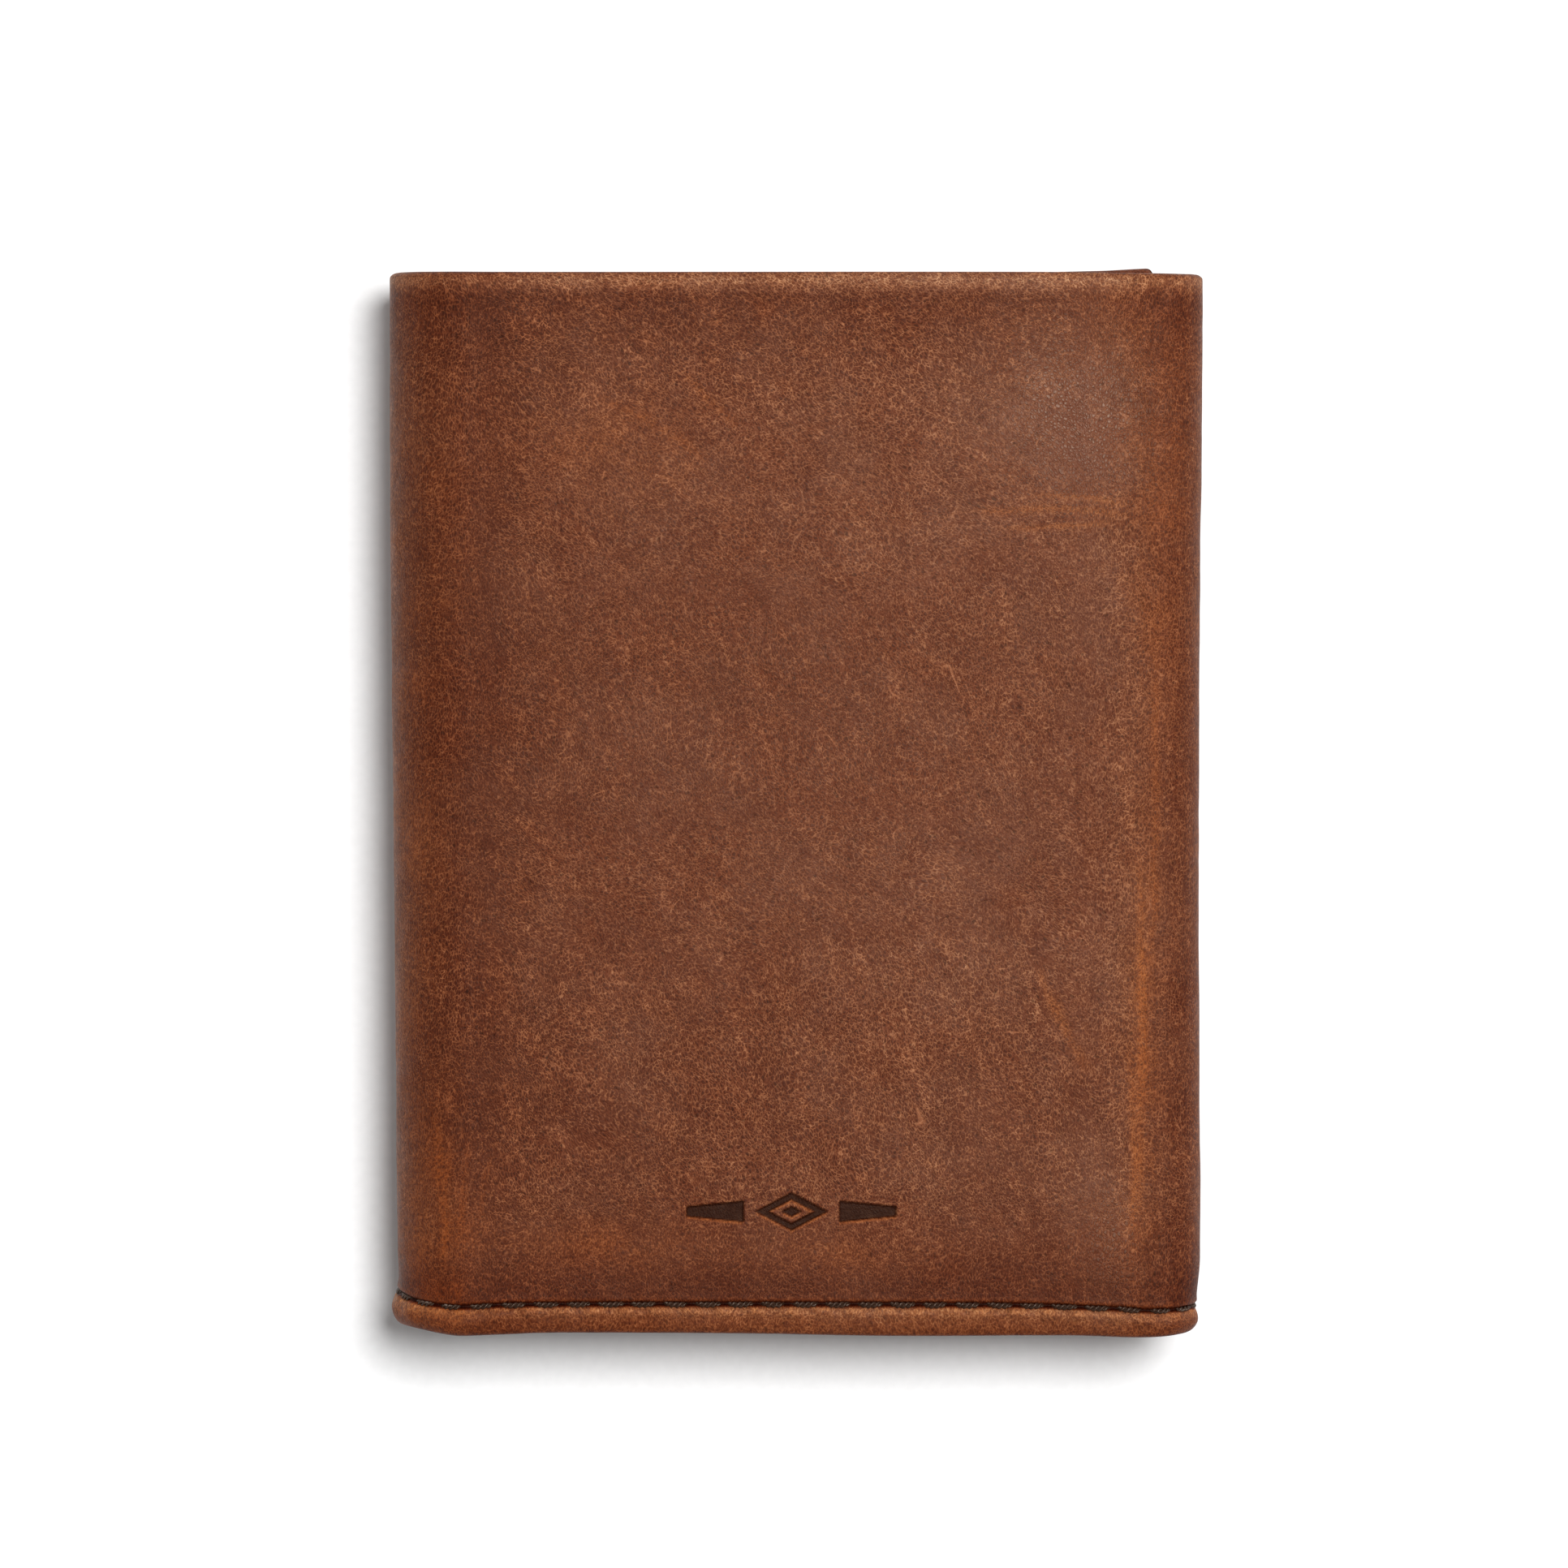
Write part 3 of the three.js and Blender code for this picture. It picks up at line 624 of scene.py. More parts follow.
LINING_EDGE = 6.5
LINING_DEPTH, LINING_THICK = 1.25, 0.3
LINING_WAVES, LINING_LUMPS = 0.05, 9
PANEL_EDGE = 0.15
PANEL_DEPTH, PANEL_THICK, PANEL_ROUND = 2.0, 0.7, 0.4
# The creased line along each panel's top edge, and the ribs inside the left fold.
PANEL_LINE = 1.6
RIB_HEIGHT, RIB_RATE, RIB_FADE = 0.05, 4.5, 2


def add_linings(material):
    half = node_box("centre_lining")[1][1]
    s = wrapped_s(LINING_EDGE)
    rows = edge_rows(-half, half, LAYER_STEP)

    def outer(s, y):
        return LINING_DEPTH + LINING_WAVES * (1 + noise(s, y, LINING_LUMPS, 21))

    pieces = wrapped_ply("lining", "lining", "lining", s, rows, rows[1:-1], outer,
                         lambda s, y: LINING_THICK + outer(s, y), material, "lining_cloth")


def add_panels(material):
    (_, low, _), (_, high, _) = node_box("centre_pocket_panel")
    s = wrapped_s(PANEL_EDGE)
    rows = edge_rows(low, high, LAYER_STEP)
    far = PANEL_DEPTH + PANEL_THICK
    outer, inner = layer_depths(PANEL_DEPTH, far, (s[0], s[-1]), (low, high), PANEL_ROUND)

    def creased(s, y):
        ribbed = step((s - LEFT_END) / RIB_FADE) * step((LEFT.x - s) / RIB_FADE)
        line = 0.1 * near(high - y, PANEL_LINE, 0.22)
        return inner(s, y) - line + RIB_HEIGHT * np.sin(s * RIB_RATE) * ribbed

    wrapped_ply("panel", "pocket_panel", "strip", s, rows, rows[1:-1], outer, creased, material,
                "pocket_leather")


# ---- card slots and window


def flat_span(node, flap):
    """A flat ply's s, y and depth ranges on its flap, from its CAD node."""
    (x0, y0, z0), (x1, y1, z1) = node_box(node)
    if flap == "centre":
        return (x0, x1), (y0, y1), (TOP_FACE - z1, TOP_FACE - z0)
    to_s, face = (RIGHT_END + RIGHT.x, INNER_FACE) if flap == "inner" else (LEFT_END + LEFT.x, 0)
    return (to_s - x1, to_s - x0), (y0, y1), (z0 - face, z1 - face)


# The plies that each panel's pocket seam goes through.
POCKETS = {
    "centre": ("centre_slot_back", "centre_slot_middle", "centre_slot_front"),
    "inner": ("inner_slot_back", "inner_slot_front"),
    "back": ("back_window_frame",),
}
# A card slot leaf's rounded edge, its lip with a creased line, and the waves in its face.
LEAF_ROUND = 0.35
LIP = 3
LIP_LINE, LINE_DEPTH, LINE_WIDTH = 1.5, 0.14, 0.2
LEAF_WAVES, LEAF_LUMPS = 0.015, 7


def hold(piece, flap):
    """Fixes a piece to its panel's body. One on the inner flap, which reaches into the fold, only has its
    placement baked into its mesh.
    """
    if flap == "inner":
        bend(piece)
    else:
        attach(piece, {"centre": "centre_panel", "back": "back_flap"}[flap])


def add_leaf(node, flap, material):
    """A card slot's leaf: a plate of leather whose lip is turned and creased, and dips a little."""
    (s0, s1), (y0, y1), (near_depth, far_depth) = flat_span(node, flap)
    outer, inner = layer_depths(near_depth, far_depth, (s0, s1), (y0, y1), LEAF_ROUND)
    rows = edge_rows(y0, y1, 2)
    rows = np.concatenate([rows[rows < y1 - LIP], stations((y1 - LIP, y1 - 0.4, 0.2), (y1 - 0.4, y1, 0.08))])
    s = stations((s0 + 0.02, s0 + 0.4, 0.1), (s0 + 0.4, s1 - 0.4, 1.5), (s1 - 0.4, s1 - 0.02, 0.1))

    def face(s, y):
        line = LINE_DEPTH * near(y1 - y, LIP_LINE, LINE_WIDTH) * step(s - s0 - 1) * step(s1 - s - 1)
        return inner(s, y) - line - 0.03 + LEAF_WAVES * noise(s, y, LEAF_LUMPS, 31)

    leaf, = ply(node.replace("slot", "leaf"), s, rows, rows[1:-1], outer, face, material, "pocket_leather")
    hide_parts(node)
    hold(leaf, flap)


def add_leaves(material):
    for flap in ("centre", "inner"):
        for node in POCKETS[flap]:
            add_leaf(node, flap, material)


# The window frame: its rim over the film, corners, width, rounding and creased line.
RIM = 3.0
HOLE_CORNER, FRAME_CORNER, CORNER_POINTS = 4.0, 2.0, 12
BAND, FRAME_ROUND = 6.0, 0.35
FRAME_LINE, FRAME_LINE_DEPTH = 1.4, 0.1


def rounded_outline(s_ends, y_ends, r):
    """Points round a rectangle with rounded corners, with its straight sides filled in."""
    (a0, a1), (b0, b1) = s_ends, y_ends
    middles = ((a1 - r, b1 - r), (a0 + r, b1 - r), (a0 + r, b0 + r), (a1 - r, b0 + r))
    points = []
    for quarter, (cx, cy) in enumerate(middles):
        angle = (quarter + np.linspace(0, 1, CORNER_POINTS)) * math.pi / 2
        points += [*np.stack([cx + r * np.cos(angle), cy + r * np.sin(angle)], -1)]
    counts = [CORNER_POINTS if k % CORNER_POINTS == CORNER_POINTS - 1 else 2 for k in range(len(points))]
    return np.concatenate([np.linspace(a, b, count)[:-1]
                           for a, b, count in zip(points, points[1:] + points[:1], counts)])


def add_frame(material):
    """The window's frame: a flat closed band round its hole, with rounded corners and edges."""
    s_ends, y_ends, (near_depth, far_depth) = flat_span("back_window_frame", "back")
    (f0, f1), (g0, g1), _ = flat_span("back_window_film", "back")
    outside = rounded_outline(s_ends, y_ends, FRAME_CORNER)
    inside = rounded_outline((f0 + RIM, f1 - RIM), (g0 + RIM, g1 - RIM), HOLE_CORNER)
    across = stations((0, 0.08, 0.016), (0.08, 0.92, 0.105), (0.92, 1, 0.016))
    gap = np.minimum(across, 1 - across) * BAND
    full = np.sqrt(1 - np.clip(1 - gap / FRAME_ROUND, 0, 1) ** 2)
    line = FRAME_LINE_DEPTH * near(gap, FRAME_LINE, 0.25)
    middle, half = (near_depth + far_depth) / 2, (far_depth - near_depth) / 2
    back = slice(-2, 0, -1)
    loop_t = np.concatenate([across, across[back]])
    loop_depth = np.concatenate([middle - half * full, (middle + half * full - line)[back]])
    flat = outside[:, None] * (1 - loop_t)[None, :, None] + inside[:, None] * loop_t[None, :, None]
    points = place(flat[..., 0], flat[..., 1], np.broadcast_to(loop_depth, flat.shape[:2]))
    n, m = flat.shape[:2]
    i, j = [k.ravel() for k in np.meshgrid(np.arange(n), np.arange(m), indexing="ij")]
    i2, j2 = (i + 1) % n, (j + 1) % m
    quads = np.stack([i * m + j, i2 * m + j, i2 * m + j2, i * m + j2], -1)
    uv = flat.reshape(-1, 2)[quads].reshape(-1, 2)
    band = make_object("window_frame", points, quads.tolist(), material, uv)
    outwards(band)
    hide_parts("back_window_frame")
    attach(band, "back_flap")


def outwards(obj):
    """Turns a closed mesh's faces outwards."""
    bm = bmesh.new()
    bm.from_mesh(obj.data)
    bmesh.ops.recalc_face_normals(bm, faces=bm.faces)
    bm.to_mesh(obj.data)
    bm.free()


FILM_NEAR, FILM_FAR = 0.02, 0.05
FILM_WAVES, FILM_LUMPS = 0.015, 8


def add_film(material):
    """The window's clear film, a little thinner than its CAD node and gently rippled."""
    (s0, s1), (y0, y1), (near_depth, far_depth) = flat_span("back_window_film", "back")
    rows = edge_rows(y0, y1, 1.5)
    s = stations((s0, s0 + 0.3, 0.1), (s0 + 0.3, s1 - 0.3, 1.5), (s1 - 0.3, s1, 0.1))

    def ripple(s, y):
        return FILM_WAVES * noise(s, y, FILM_LUMPS, 41) - 0.009

    film, = ply("window_film", s, rows, rows[1:-1], lambda s, y: near_depth + FILM_NEAR + ripple(s, y),
                lambda s, y: far_depth - FILM_FAR + ripple(s, y), material, "window_film")
    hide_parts("back_window_film")
    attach(film, "back_flap")


# ---- stitches


# A stitch's strands, their radius, twist and taper, and how its ends dive and its middle bows.
STRANDS = 2
STRAND = 0.165
TWIST = 1.15
HELIX = 0.85
TAPER = 0.78
DIVE = 0.55
BOW = 0.1
UNEVEN_LENGTH, UNEVEN_TURN, UNEVEN_DEPTH = 0.06, 0.05, 0.03
THREAD_DEPTH = 0.03
THREAD_SINKS = 0.25


def twisted(centres, depths, inwards, steps, sides, bow):
    """Points of each stitch's strands, how far along each point is, and how far round its strand."""
    s0, y0, turn = [centres[:, k, None, None, None] for k in range(3)]
    t = np.linspace(-1, 1, steps)[None, None, :, None]
    strand = np.arange(STRANDS)[None, :, None, None]
    ring = np.linspace(0, 2 * math.pi, sides, endpoint=False)[None, None, None, :]
    jitter = np.random.default_rng(len(centres)).uniform(-1, 1, (len(centres), 4))[:, :, None, None, None]
    half = STITCH * (1 + UNEVEN_LENGTH * jitter[:, 0]) / 2
    phase = 2 * math.pi * (t * half / TWIST + strand / STRANDS + jitter[:, 1])
    radius = STRAND * np.sqrt(1 - TAPER * t**4)
    along = t * half + 0 * phase + 0 * ring
    across = HELIX * radius * np.cos(phase) + radius * np.cos(ring) - bow * (1 - t**2)
    across = across + UNEVEN_TURN * jitter[:, 2] * t
    down = HELIX * radius * np.sin(phase) + radius * np.sin(ring) + DIVE * t**4 + UNEVEN_DEPTH * jitter[:, 3]
    cos, sin = np.cos(turn * 2 * math.pi), np.sin(turn * 2 * math.pi)
    depth = depths[:, None, None, None] + inwards * down
    points = place(s0 + along * cos - across * sin, y0 + along * sin + across * cos, depth)
    return points, along + s0 * 1.7, np.broadcast_to(ring, along.shape)


def stitches(name, centres, depths, inwards, node_names, material, steps=15, sides=6, bow=BOW):
    """Twisted stitches at centres, each (s, y, direction in turns), whose middles lie at depths. inwards is
    1 for a seam seen from the outside and -1 for one seen from the inside."""
    centres, depths = np.array(centres, float), np.asarray(depths, float)
    points, run, ring = twisted(centres, depths, inwards, steps, sides, bow)
    tubes = len(centres) * STRANDS
    _, _, quads, caps = tube_faces(steps, sides)
    start = np.arange(tubes) * steps * sides
    tube_quads = (quads[None] + start[:, None, None]).reshape(-1, 4)
    tube_caps = [[k + begin for k in cap] for begin in start.tolist() for cap in caps]
    strands = ring.reshape(tubes, -1) / 6 + np.arange(tubes)[:, None] * 1.3
    flat = np.stack([run.reshape(tubes, -1), strands], -1).reshape(-1, 2)
    corner_uv = np.concatenate([flat[tube_quads].reshape(-1, 2), flat[np.array(tube_caps)].reshape(-1, 2)])
    thread = make_object(name, points, tube_quads.tolist() + tube_caps, material, corner_uv)
    outwards(thread)
    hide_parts(*node_names)
    return thread


def spaced(start, end):
    """Stitch middles between start and end, PITCH apart."""
    count = int((end - start) // PITCH)
    first = (start + end - (count - 1) * PITCH) / 2
    return [first + k * PITCH for k in range(count)]


HEM_ENDS = 3
EDGE_SEAM_LOW, EDGE_SEAM_HIGH = -49.5, 51
SEAM_INSET, SEAM_SHORT = 0.25, 1.2
UPRIGHT = 0.25


def add_hem_threads(material):
    lowest = math.ceil((BACK_EDGE + HEM_ENDS - FIRST_STITCH) / PITCH)
    highest = math.floor((INNER_EDGE - HEM_ENDS - FIRST_STITCH) / PITCH)
    row = [FIRST_STITCH + k * PITCH for k in range(lowest, highest + 1)]
    ends = (BACK_EDGE, *CUTS, INNER_EDGE)
    for side, a, b, nodes in zip(SIDES, ends[:-1], ends[1:], wrapped_nodes("hem_thread", "hem_thread")):
        own = [(s, SEAM_Y, 0.0) for s in row if a <= s < b]
        depths = [THREAD_DEPTH + THREAD_SINKS * (1 - flatness(s)) * (s < RIGHT_END) for s, _, _ in own]
        bend(stitches("hem_thread_" + side, own, depths, 1, nodes, material, steps=25, sides=8))


def add_edge_threads(material):
    for side, s in (("back", BACK_EDGE + EDGE_SEAM), ("inner", INNER_EDGE - EDGE_SEAM)):
        own = [(s, y, UPRIGHT) for y in spaced(EDGE_SEAM_LOW, EDGE_SEAM_HIGH)]
        depths = np.full(len(own), THREAD_DEPTH + THREAD_SINKS * on_back(s))
        thread = stitches("edge_thread_" + side, own, depths, 1, (side + "_edge_thread",), material, bow=0)
        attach(thread, side + "_flap")


def add_pocket_threads(material):
    """The seams round the pockets, which lie on whichever leaf is on top."""
    for flap, leaves in POCKETS.items():
        node = flap + "_pocket_thread"
        (s0, s1), (y0, y1), _ = flat_span(node, flap)
        sides = (s0 + SEAM_INSET, s1 - SEAM_INSET)
        centres = [(s, y, UPRIGHT) for s in sides for y in spaced(y0 + SEAM_SHORT, y1)]
        centres += [(s, y0 + SEAM_INSET, 0.0) for s in spaced(s0 + SEAM_SHORT, s1 - SEAM_SHORT)]
        spans = [flat_span(leaf, flap) for leaf in leaves]
        depths = [max(d[1] for _, ys, d in spans if y < ys[1] or len(spans) == 1) for _, y, _ in centres]
        thread = stitches("pocket_thread_" + flap, centres, np.array(depths) + 0.02, -1, (node,), material,
                          steps=11, bow=0)
        hold(thread, flap)


# ---- materials


class Shader:
    """A material's nodes, made with short calls."""

    def __init__(self, name, roughness, specular=0.5, **sockets):
        self.material = bpy.data.materials.new(name)
        self.material.use_nodes = True
        self.tree = self.material.node_tree
        self.bsdf = self.tree.nodes["Principled BSDF"]
        self.bsdf.inputs["Specular IOR Level"].default_value = specular
        self.bsdf.inputs["Roughness"].default_value = roughness
        for key, value in sockets.items():
            self.bsdf.inputs[key.replace("_", " ")].default_value = value

    def node(self, kind, sockets=(), **settings):
        made = self.tree.nodes.new("ShaderNode" + kind)
        for key, value in settings.items():
            setattr(made, key, value)
        for key, value in dict(sockets).items():
            self.put(made.inputs[key], value)
        return made

    def put(self, socket, value):
        """Links a socket to another node's, or sets its value."""
        if isinstance(value, bpy.types.NodeSocket):
            self.tree.links.new(value, socket)
        else:
            socket.default_value = value

    def flat(self, scale=(1, 1, 1), turn=0.0, vector=None):
        """The ply's flat coordinates in millimetres, turned and then scaled."""
        sockets = {"Rotation": (0, 0, turn), "Scale": [1 / factor for factor in scale]}
        mapping = self.node("Mapping", sockets, vector_type="TEXTURE")
        self.put(mapping.inputs["Vector"], vector or self.node("UVMap", uv_map="rest").outputs["UV"])
        return mapping.outputs["Vector"]

    def noise(self, vector, scale, detail=2.0, rough=0.5):
        sockets = {"Vector": vector, "Scale": scale, "Detail": detail, "Roughness": rough}
        return self.node("TexNoise", sockets)

    def fac(self, *noise):
        return self.noise(*noise).outputs["Fac"]

    def cells(self, vector, scale, feature="F1"):
        made = self.node("TexVoronoi", {"Vector": vector, "Scale": scale}, feature=feature)
        return made.outputs["Distance"]

    def math(self, operation, a, b=0.0, clamp=False):
        return self.node("Math", {0: a, 1: b}, operation=operation, use_clamp=clamp).outputs[0]

    def fit(self, value, low, high, to_low=0.0, to_high=1.0):
        """value eased from to_low, where it is low, to to_high, where it is high."""
        sockets = {"Value": value, "From Min": low, "From Max": high, "To Min": to_low, "To Max": to_high}
        return self.node("MapRange", sockets, interpolation_type="SMOOTHSTEP").outputs["Result"]

    def mix(self, factor, a, b, blend="MIX"):
        return self.node("Mix", {0: factor, 6: a, 7: b}, data_type="RGBA", blend_type=blend).outputs[2]

    def mix_value(self, factor, a, b):
        return self.node("Mix", {0: factor, 2: a, 3: b}, data_type="FLOAT").outputs[0]

    def warp(self, vector, by, amount):
        """vector moved about by a noise's colour."""
        centred = self.node("VectorMath", {0: by.outputs["Color"], 1: (0.5, 0.5, 0.5)}, operation="SUBTRACT")
        scaled = self.node("VectorMath", {0: centred.outputs[0], "Scale": amount}, operation="SCALE")
        return self.node("VectorMath", {0: vector, 1: scaled.outputs[0]}, operation="ADD").outputs[0]

    def value_of(self, attribute):
        return self.node("Attribute", attribute_name=attribute).outputs["Fac"]

    def bump(self, height, distance_mm, strength=1.0, normal=None):
        sockets = {"Height": height, "Distance": distance_mm * MM, "Strength": strength}
        if normal is not None:
            sockets["Normal"] = normal
        return self.node("Bump", sockets).outputs["Normal"]

    def finish(self, colour=None, roughness=None, normal=None):
        for key, value in (("Base Color", colour), ("Roughness", roughness), ("Normal", normal)):
            if value is not None:
                self.put(self.bsdf.inputs[key], value)
        return self.material


def rgb(red, green, blue):
    """A linear colour from 0 to 255 display values."""
    return tuple((c / 12.92 if c <= 0.04045 else ((c + 0.055) / 1.055) ** 2.4)
                 for c in (red / 255, green / 255, blue / 255)) + (1.0,)


def hide_grain(m, drift, wobble):
    """The web, the streaks and the long creases, running the way that lean and upright say."""
    lean, upright = m.value_of("lean"), m.value_of("upright")

    def flow(turn):
        web = m.cells(m.flat((0.75, 1.3, 1), turn, wobble), 2.9, "DISTANCE_TO_EDGE")
        streaks = m.fac(m.flat((0.2, 1.0, 1), turn, drift), 0.8, 4, 0.6)
        return web, streaks, m.cells(m.flat((0.17, 0.8, 1), turn, drift), 1.0, "DISTANCE_TO_EDGE")

    def blended(pick):
        leaning = m.mix_value(m.fit(lean, 0.35, 0.65), falling[pick], slanting[pick])
        return m.mix_value(upright, leaning, standing[pick])

    falling, slanting, standing = flow(1.98), flow(2.5), flow(1.57)
    return blended(0), blended(1), blended(2)


def lit_and_toned(m, body, wobble):
    """body made lighter or deeper by the painted light and shade and a fine grit, red the least and blue the
    most.
    """
    grit = m.math("SUBTRACT", m.fac(wobble, 4.2, 3, 0.7), 0.5)
    tone = m.math("ADD", m.value_of("tone"), m.math("MULTIPLY", grit, 2.0))
    gain = m.node("CombineXYZ")
    for axis, depth in zip("XYZ", (0.68, 1.12, 1.42)):
        m.put(gain.inputs[axis], m.math("POWER", math.exp(depth), tone))
    return m.mix(1.0, body, gain.outputs[0], "MULTIPLY")


def hide_leather():
    """Oiled leather: dark pebbles in a pale broken web that runs in streaks, pores and places where the dye
    wears to orange, with painted highlights, painted sheen and painted shade.
    """
    m = Shader("hide_leather", roughness=0.55, specular=0.12)
    m.bsdf.inputs["Specular Tint"].default_value = (1.0, 0.8, 0.62, 1.0)
    flat = m.flat()
    drift = m.warp(flat, m.noise(flat, 0.11, 2), 3.0)
    wobble = m.warp(drift, m.noise(flat, 1.1, 2), 0.3)
    speckle, patchy = m.fac(wobble, 1.9, 4, 0.65), m.fac(flat, 0.35, 4, 0.6)
    cloud = m.fac(drift, 0.075, 4, 0.55)
    web, streak, long_edge = hide_grain(m, drift, wobble)

    # pale marks the painted sheen patches, where the leather is also smoother and its pebbles stand higher.
    pale = m.value_of("pale")
    lines = m.math("MULTIPLY", m.fit(web, 0.0, 0.15, 1.0, 0.0), m.fit(speckle, 0.4, 0.6, 0.1, 1.0))
    bright = m.fit(streak, 0.46, 0.64)
    creases = m.math("MULTIPLY", m.fit(long_edge, 0.0, 0.02, 1.0, 0.0), m.fit(patchy, 0.49, 0.61))
    pores = m.math("MULTIPLY", m.fit(m.cells(wobble, 1.3), 0.12, 0.3, 1.0, 0.0),
                   m.fit(m.fac(flat, 0.5, 2), 0.42, 0.6))

    body = m.mix(m.fit(web, 0.03, 0.32), rgb(97, 47, 27), rgb(61, 26, 15))
    body = m.mix(m.fit(speckle, 0.34, 0.66, 0.0, 0.6), body, rgb(103, 54, 33))
    body = m.mix(m.fit(cloud, 0.36, 0.64, 0.0, 0.45), body, rgb(96, 57, 42))
    body = m.mix(m.fit(m.fac(drift, 0.22, 3, 0.6), 0.4, 0.66, 0.0, 0.35), body, rgb(70, 27, 15))
    body = m.mix(m.math("MULTIPLY", bright, 0.12), body, rgb(132, 72, 44))
    line_depth = m.math("MULTIPLY", m.fit(bright, 0.0, 1.0, 0.5, 0.76), m.value_of("crackle"))
    line_depth = m.math("SUBTRACT", line_depth, m.math("MULTIPLY", pale, 0.25), clamp=True)
    body = m.mix(m.math("MULTIPLY", lines, line_depth), body, rgb(180, 122, 84))
    body = m.mix(m.math("MULTIPLY", creases, 0.55), body, rgb(168, 108, 74))
    body = m.mix(m.math("MULTIPLY", pores, 0.5), body, rgb(38, 16, 10))

    # Orange wear, with painted highlights on the hem's roll between stitches and under the ornament.
    rubbed = m.math("MULTIPLY", m.value_of("rubbed"), m.fit(speckle, 0.3, 0.58, 0.2, 1.0), clamp=True)
    body = m.mix(m.math("MULTIPLY", rubbed, m.fit(web, 0.02, 0.2, 0.85, 0.42)), body, rgb(154, 86, 42))
    # Painted sheen: greyish highlights on the pebbles where pale is high, and painted reflections along the
    # fold rims.
    painted_sheen = m.math("MULTIPLY", pale, m.fit(web, 0.08, 0.36, 0.05, 0.5), clamp=True)
    body = m.mix(painted_sheen, body, rgb(146, 110, 90))
    body = m.mix(m.math("MULTIPLY", m.value_of("stamped"), 0.92, clamp=True), body, rgb(34, 12, 6))
    # Painted light and shade, with the dye's random unevenness, multiplied into the colour.
    body = lit_and_toned(m, body, wobble)

    height = m.math("MULTIPLY", m.fit(web, 0.0, 0.34), m.math("ADD", pale, 0.8))
    height = m.math("SUBTRACT", height, m.math("MULTIPLY", pores, 0.7))
    height = m.math("SUBTRACT", height, m.math("MULTIPLY", creases, 0.8))
    normal = m.bump(height, 0.035, 0.8)
    normal = m.bump(m.fac(drift, 0.8, 3), 0.12, 0.5, normal)
    rough = m.math("SUBTRACT", m.fit(patchy, 0.3, 0.7, 0.5, 0.64), m.math("MULTIPLY", pale, 0.26))
    return m.finish(body, rough, normal)


def pocket_leather():
    """Smoother split leather of the pockets, with a fine even grain."""
    m = Shader("pocket_leather", roughness=0.5, specular=0.2)
    flat = m.flat()
    wobble = m.warp(flat, m.noise(flat, 0.8, 2), 0.5)
    web = m.cells(wobble, 2.0, "DISTANCE_TO_EDGE")
    speckle = m.fac(wobble, 1.2, 5, 0.65)
    cloud = m.fac(flat, 0.09, 4)
    body = m.mix(m.fit(speckle, 0.36, 0.64), rgb(62, 30, 19), rgb(104, 58, 39))
    body = m.mix(m.fit(web, 0.0, 0.12, 0.55, 0.0), body, rgb(140, 88, 60))
    body = m.mix(m.fit(cloud, 0.35, 0.7, 0.0, 0.25), body, rgb(116, 68, 46))
    normal = m.bump(m.fit(web, 0.0, 0.3), 0.05, 1.0)
    normal = m.bump(cloud, 0.2, 0.3, normal)
    return m.finish(body, m.fit(speckle, 0.3, 0.7, 0.42, 0.6), normal)


def lining_cloth():
    """Plain-woven dark cloth: warp and weft threads about a quarter of a millimetre wide."""
    m = Shader("lining_cloth", roughness=0.85, specular=0.25, Sheen_Weight=0.25)
    flat = m.flat()
    tilted = m.warp(flat, m.noise(flat, 0.3, 2), 0.25)

    def threads(turn):
        sockets = {"Vector": m.flat(turn=turn, vector=tilted), "Scale": 0.65}
        return m.node("TexWave", sockets, wave_type="BANDS", bands_direction="X").outputs["Fac"]

    weave = m.math("MULTIPLY", threads(0.0), threads(math.pi / 2))
    body = m.mix(m.fit(weave, 0.0, 0.8), rgb(30, 21, 17), rgb(74, 56, 45))
    body = m.mix(m.fit(m.fac(flat, 0.15, 3), 0.35, 0.7, 0.0, 0.4), body, rgb(60, 44, 36))
    return m.finish(body, None, m.bump(weave, 0.08, 0.8))


def sewing_thread():
    """Waxed dark brown thread, with fine fibres along each strand."""
    m = Shader("sewing_thread", roughness=0.3, specular=0.6)
    m.bsdf.inputs["Specular Tint"].default_value = (1.0, 0.82, 0.68, 1.0)
    fibres = m.fac(m.flat(scale=(1.0, 16, 1)), 1.6, 3, 0.6)
    body = m.mix(m.fit(fibres, 0.35, 0.65), rgb(22, 11, 7), rgb(66, 43, 31))
    return m.finish(body, m.fit(fibres, 0.3, 0.7, 0.26, 0.45), m.bump(fibres, 0.05, 0.8))


def window_film():
    """Clear soft film with faint scuffs."""
    m = Shader("window_film", roughness=0.12, specular=0.5)
    scuffs = m.fac(m.flat(scale=(0.3, 2.5, 1), turn=0.5), 1.1, 4, 0.6)
    m.bsdf.inputs["Alpha"].default_value = 0.04
    body = m.mix(m.fit(scuffs, 0.4, 0.7), rgb(214, 220, 220), rgb(236, 240, 240))
    return m.finish(body, m.fit(scuffs, 0.45, 0.75, 0.08, 0.3), m.bump(scuffs, 0.02, 0.4))


def floor_paper():
    """Plain white paper with a faint grain."""
    m = Shader("floor_paper", roughness=0.9, specular=0.1)
    grain = m.fac(m.node("TexCoord").outputs["Object"], 900.0, 3)
    return m.finish(m.mix(m.fit(grain, 0.3, 0.7), rgb(243, 243, 243), rgb(246, 246, 246)))


# ---- studio


CAMERA_X, CAMERA_Y = -1.2, 2.0
FRAME_WIDTH = 159.6
LENS, SENSOR = 180.0, 36.0
# The floor lies just under the wallet's lowest point.
FLOOR_HALF, FLOOR_Z = 1500.0, -0.1
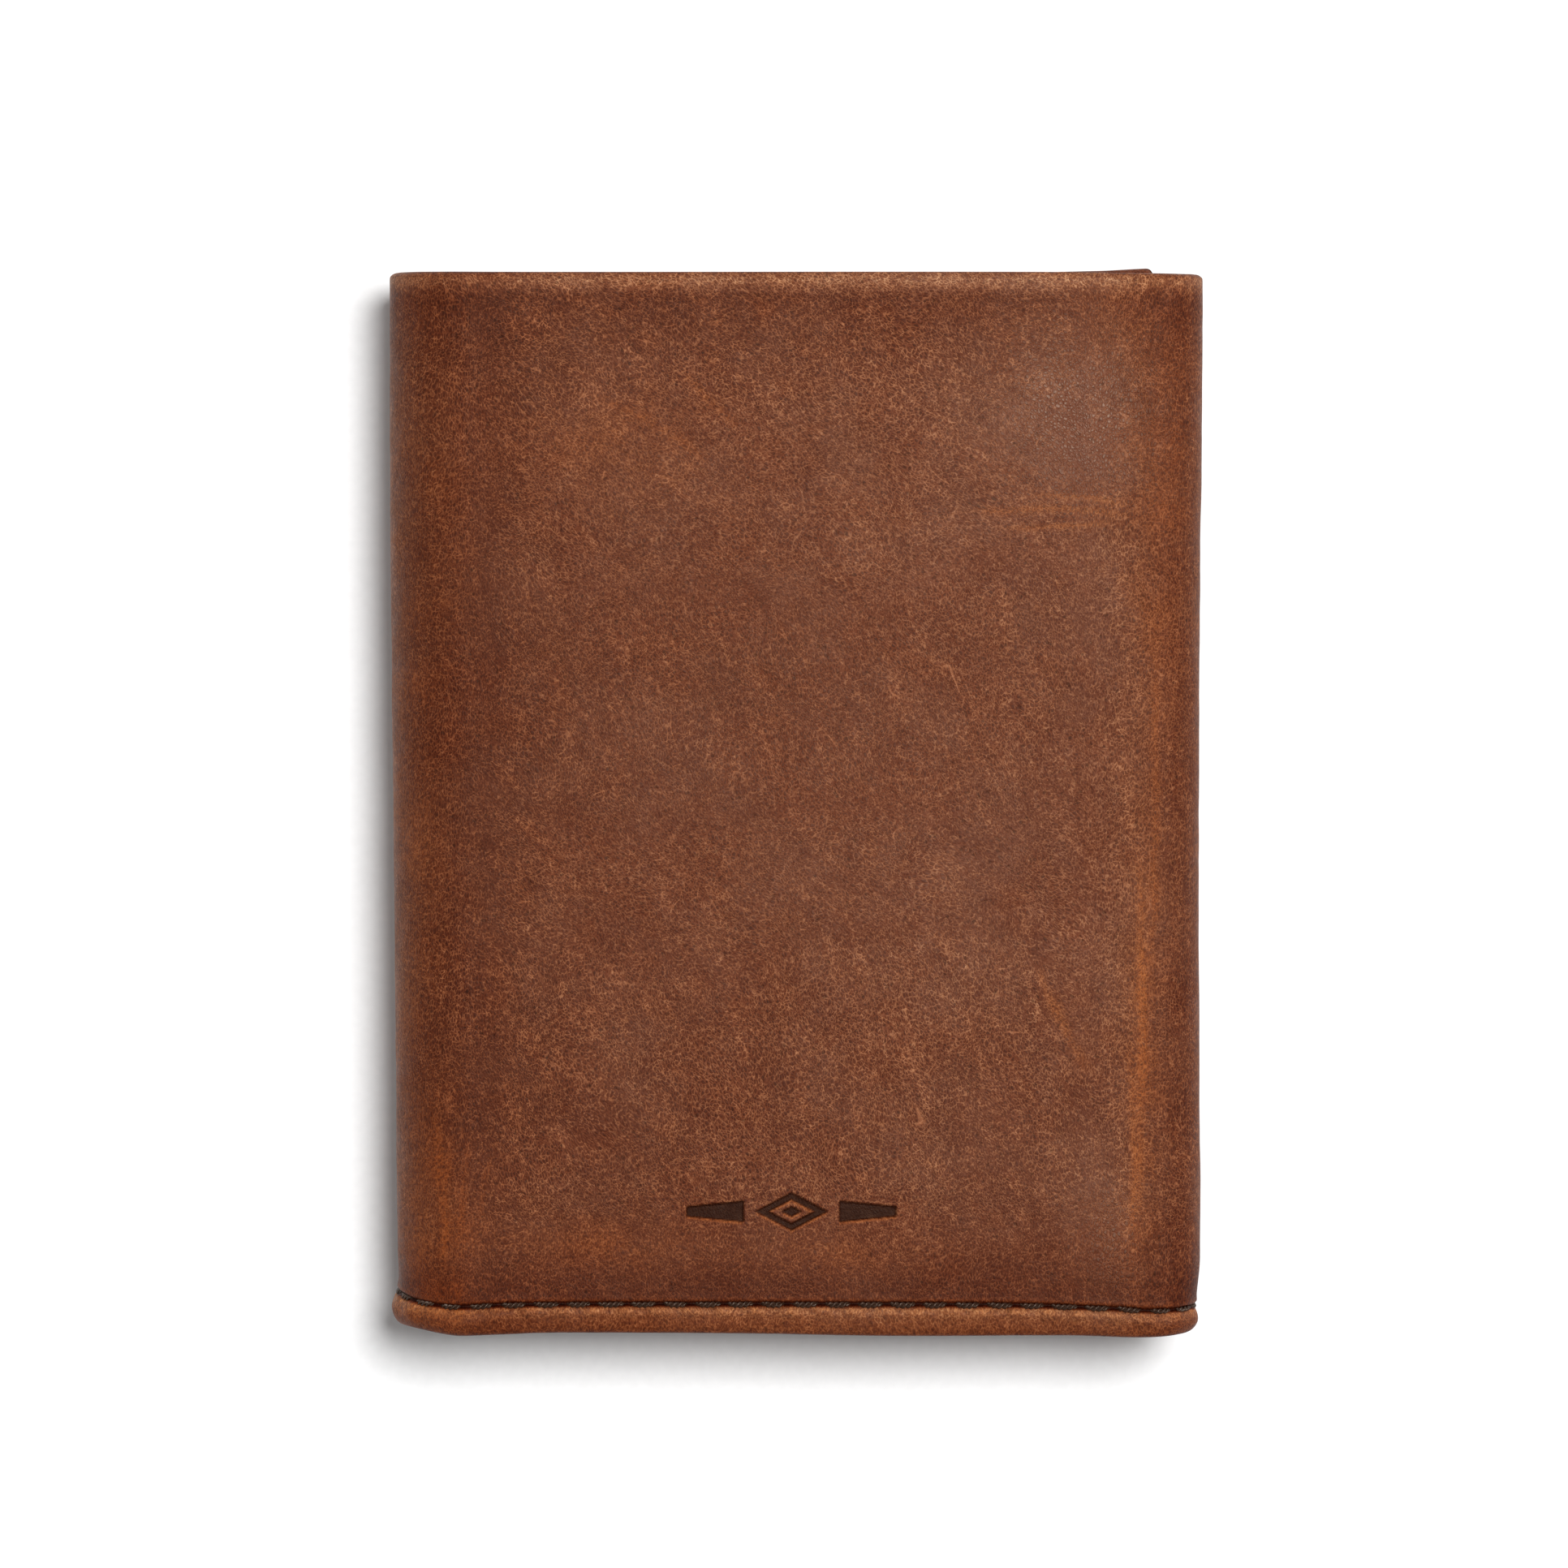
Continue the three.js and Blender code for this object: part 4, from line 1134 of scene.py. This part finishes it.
# Lights, in metres and watts: (name, direction, distance, size, power).
LIGHTS = (("key", (0.295, 0.23, 1), 1.6, 0.75, 30), ("fill", (-0.9, -0.3, 1.0), 1.8, 1.4, 2.9))
SURROUND = 0.2


def add_floor():
    mesh = bpy.data.meshes.new("floor")
    reach = FLOOR_HALF * MM
    corners = [(x * reach, y * reach, 0) for x, y in ((-1, -1), (1, -1), (1, 1), (-1, 1))]
    mesh.from_pydata(corners, [], [(0, 1, 2, 3)])
    mesh.materials.append(floor_paper())
    floor = bpy.data.objects.new("floor", mesh)
    floor.location.z = FLOOR_Z * MM
    bpy.context.scene.collection.objects.link(floor)


def add_light(name, direction, distance, size, power):
    """A soft round light that shines on the wallet from direction."""
    data = bpy.data.lights.new(name, "AREA")
    data.shape = "DISK"
    data.size, data.energy = size, power
    light = bpy.data.objects.new(name, data)
    away = np.array(direction, float) / np.linalg.norm(direction)
    light.location = away * distance
    light.rotation_mode = "QUATERNION"
    light.rotation_quaternion = Vector(away).to_track_quat("Z", "Y")
    bpy.context.scene.collection.objects.link(light)


def add_studio():
    add_floor()
    for light in LIGHTS:
        add_light(*light)
    world = bpy.data.worlds.new("studio")
    world.use_nodes = True
    background = world.node_tree.nodes["Background"]
    background.inputs["Color"].default_value = (1, 1, 1, 1)
    background.inputs["Strength"].default_value = SURROUND
    bpy.context.scene.world = world
    bpy.context.scene.view_settings.view_transform = "Standard"


def add_camera():
    """A camera straight above, as the photograph was taken."""
    data = bpy.data.cameras.new("camera")
    data.lens, data.sensor_width = LENS, SENSOR
    data.clip_start, data.clip_end = 0.01, 10
    camera = bpy.data.objects.new("camera", data)
    camera.location = (CAMERA_X * MM, CAMERA_Y * MM, (TOP_FACE + FRAME_WIDTH * LENS / SENSOR) * MM)
    bpy.context.scene.collection.objects.link(camera)
    bpy.context.scene.camera = camera


add_hide(hide_leather())
add_linings(lining_cloth())
pocket = pocket_leather()
add_panels(pocket)
add_leaves(pocket)
add_frame(pocket)
add_film(window_film())
thread = sewing_thread()
add_hem_threads(thread)
add_edge_threads(thread)
add_pocket_threads(thread)
add_studio()
add_camera()
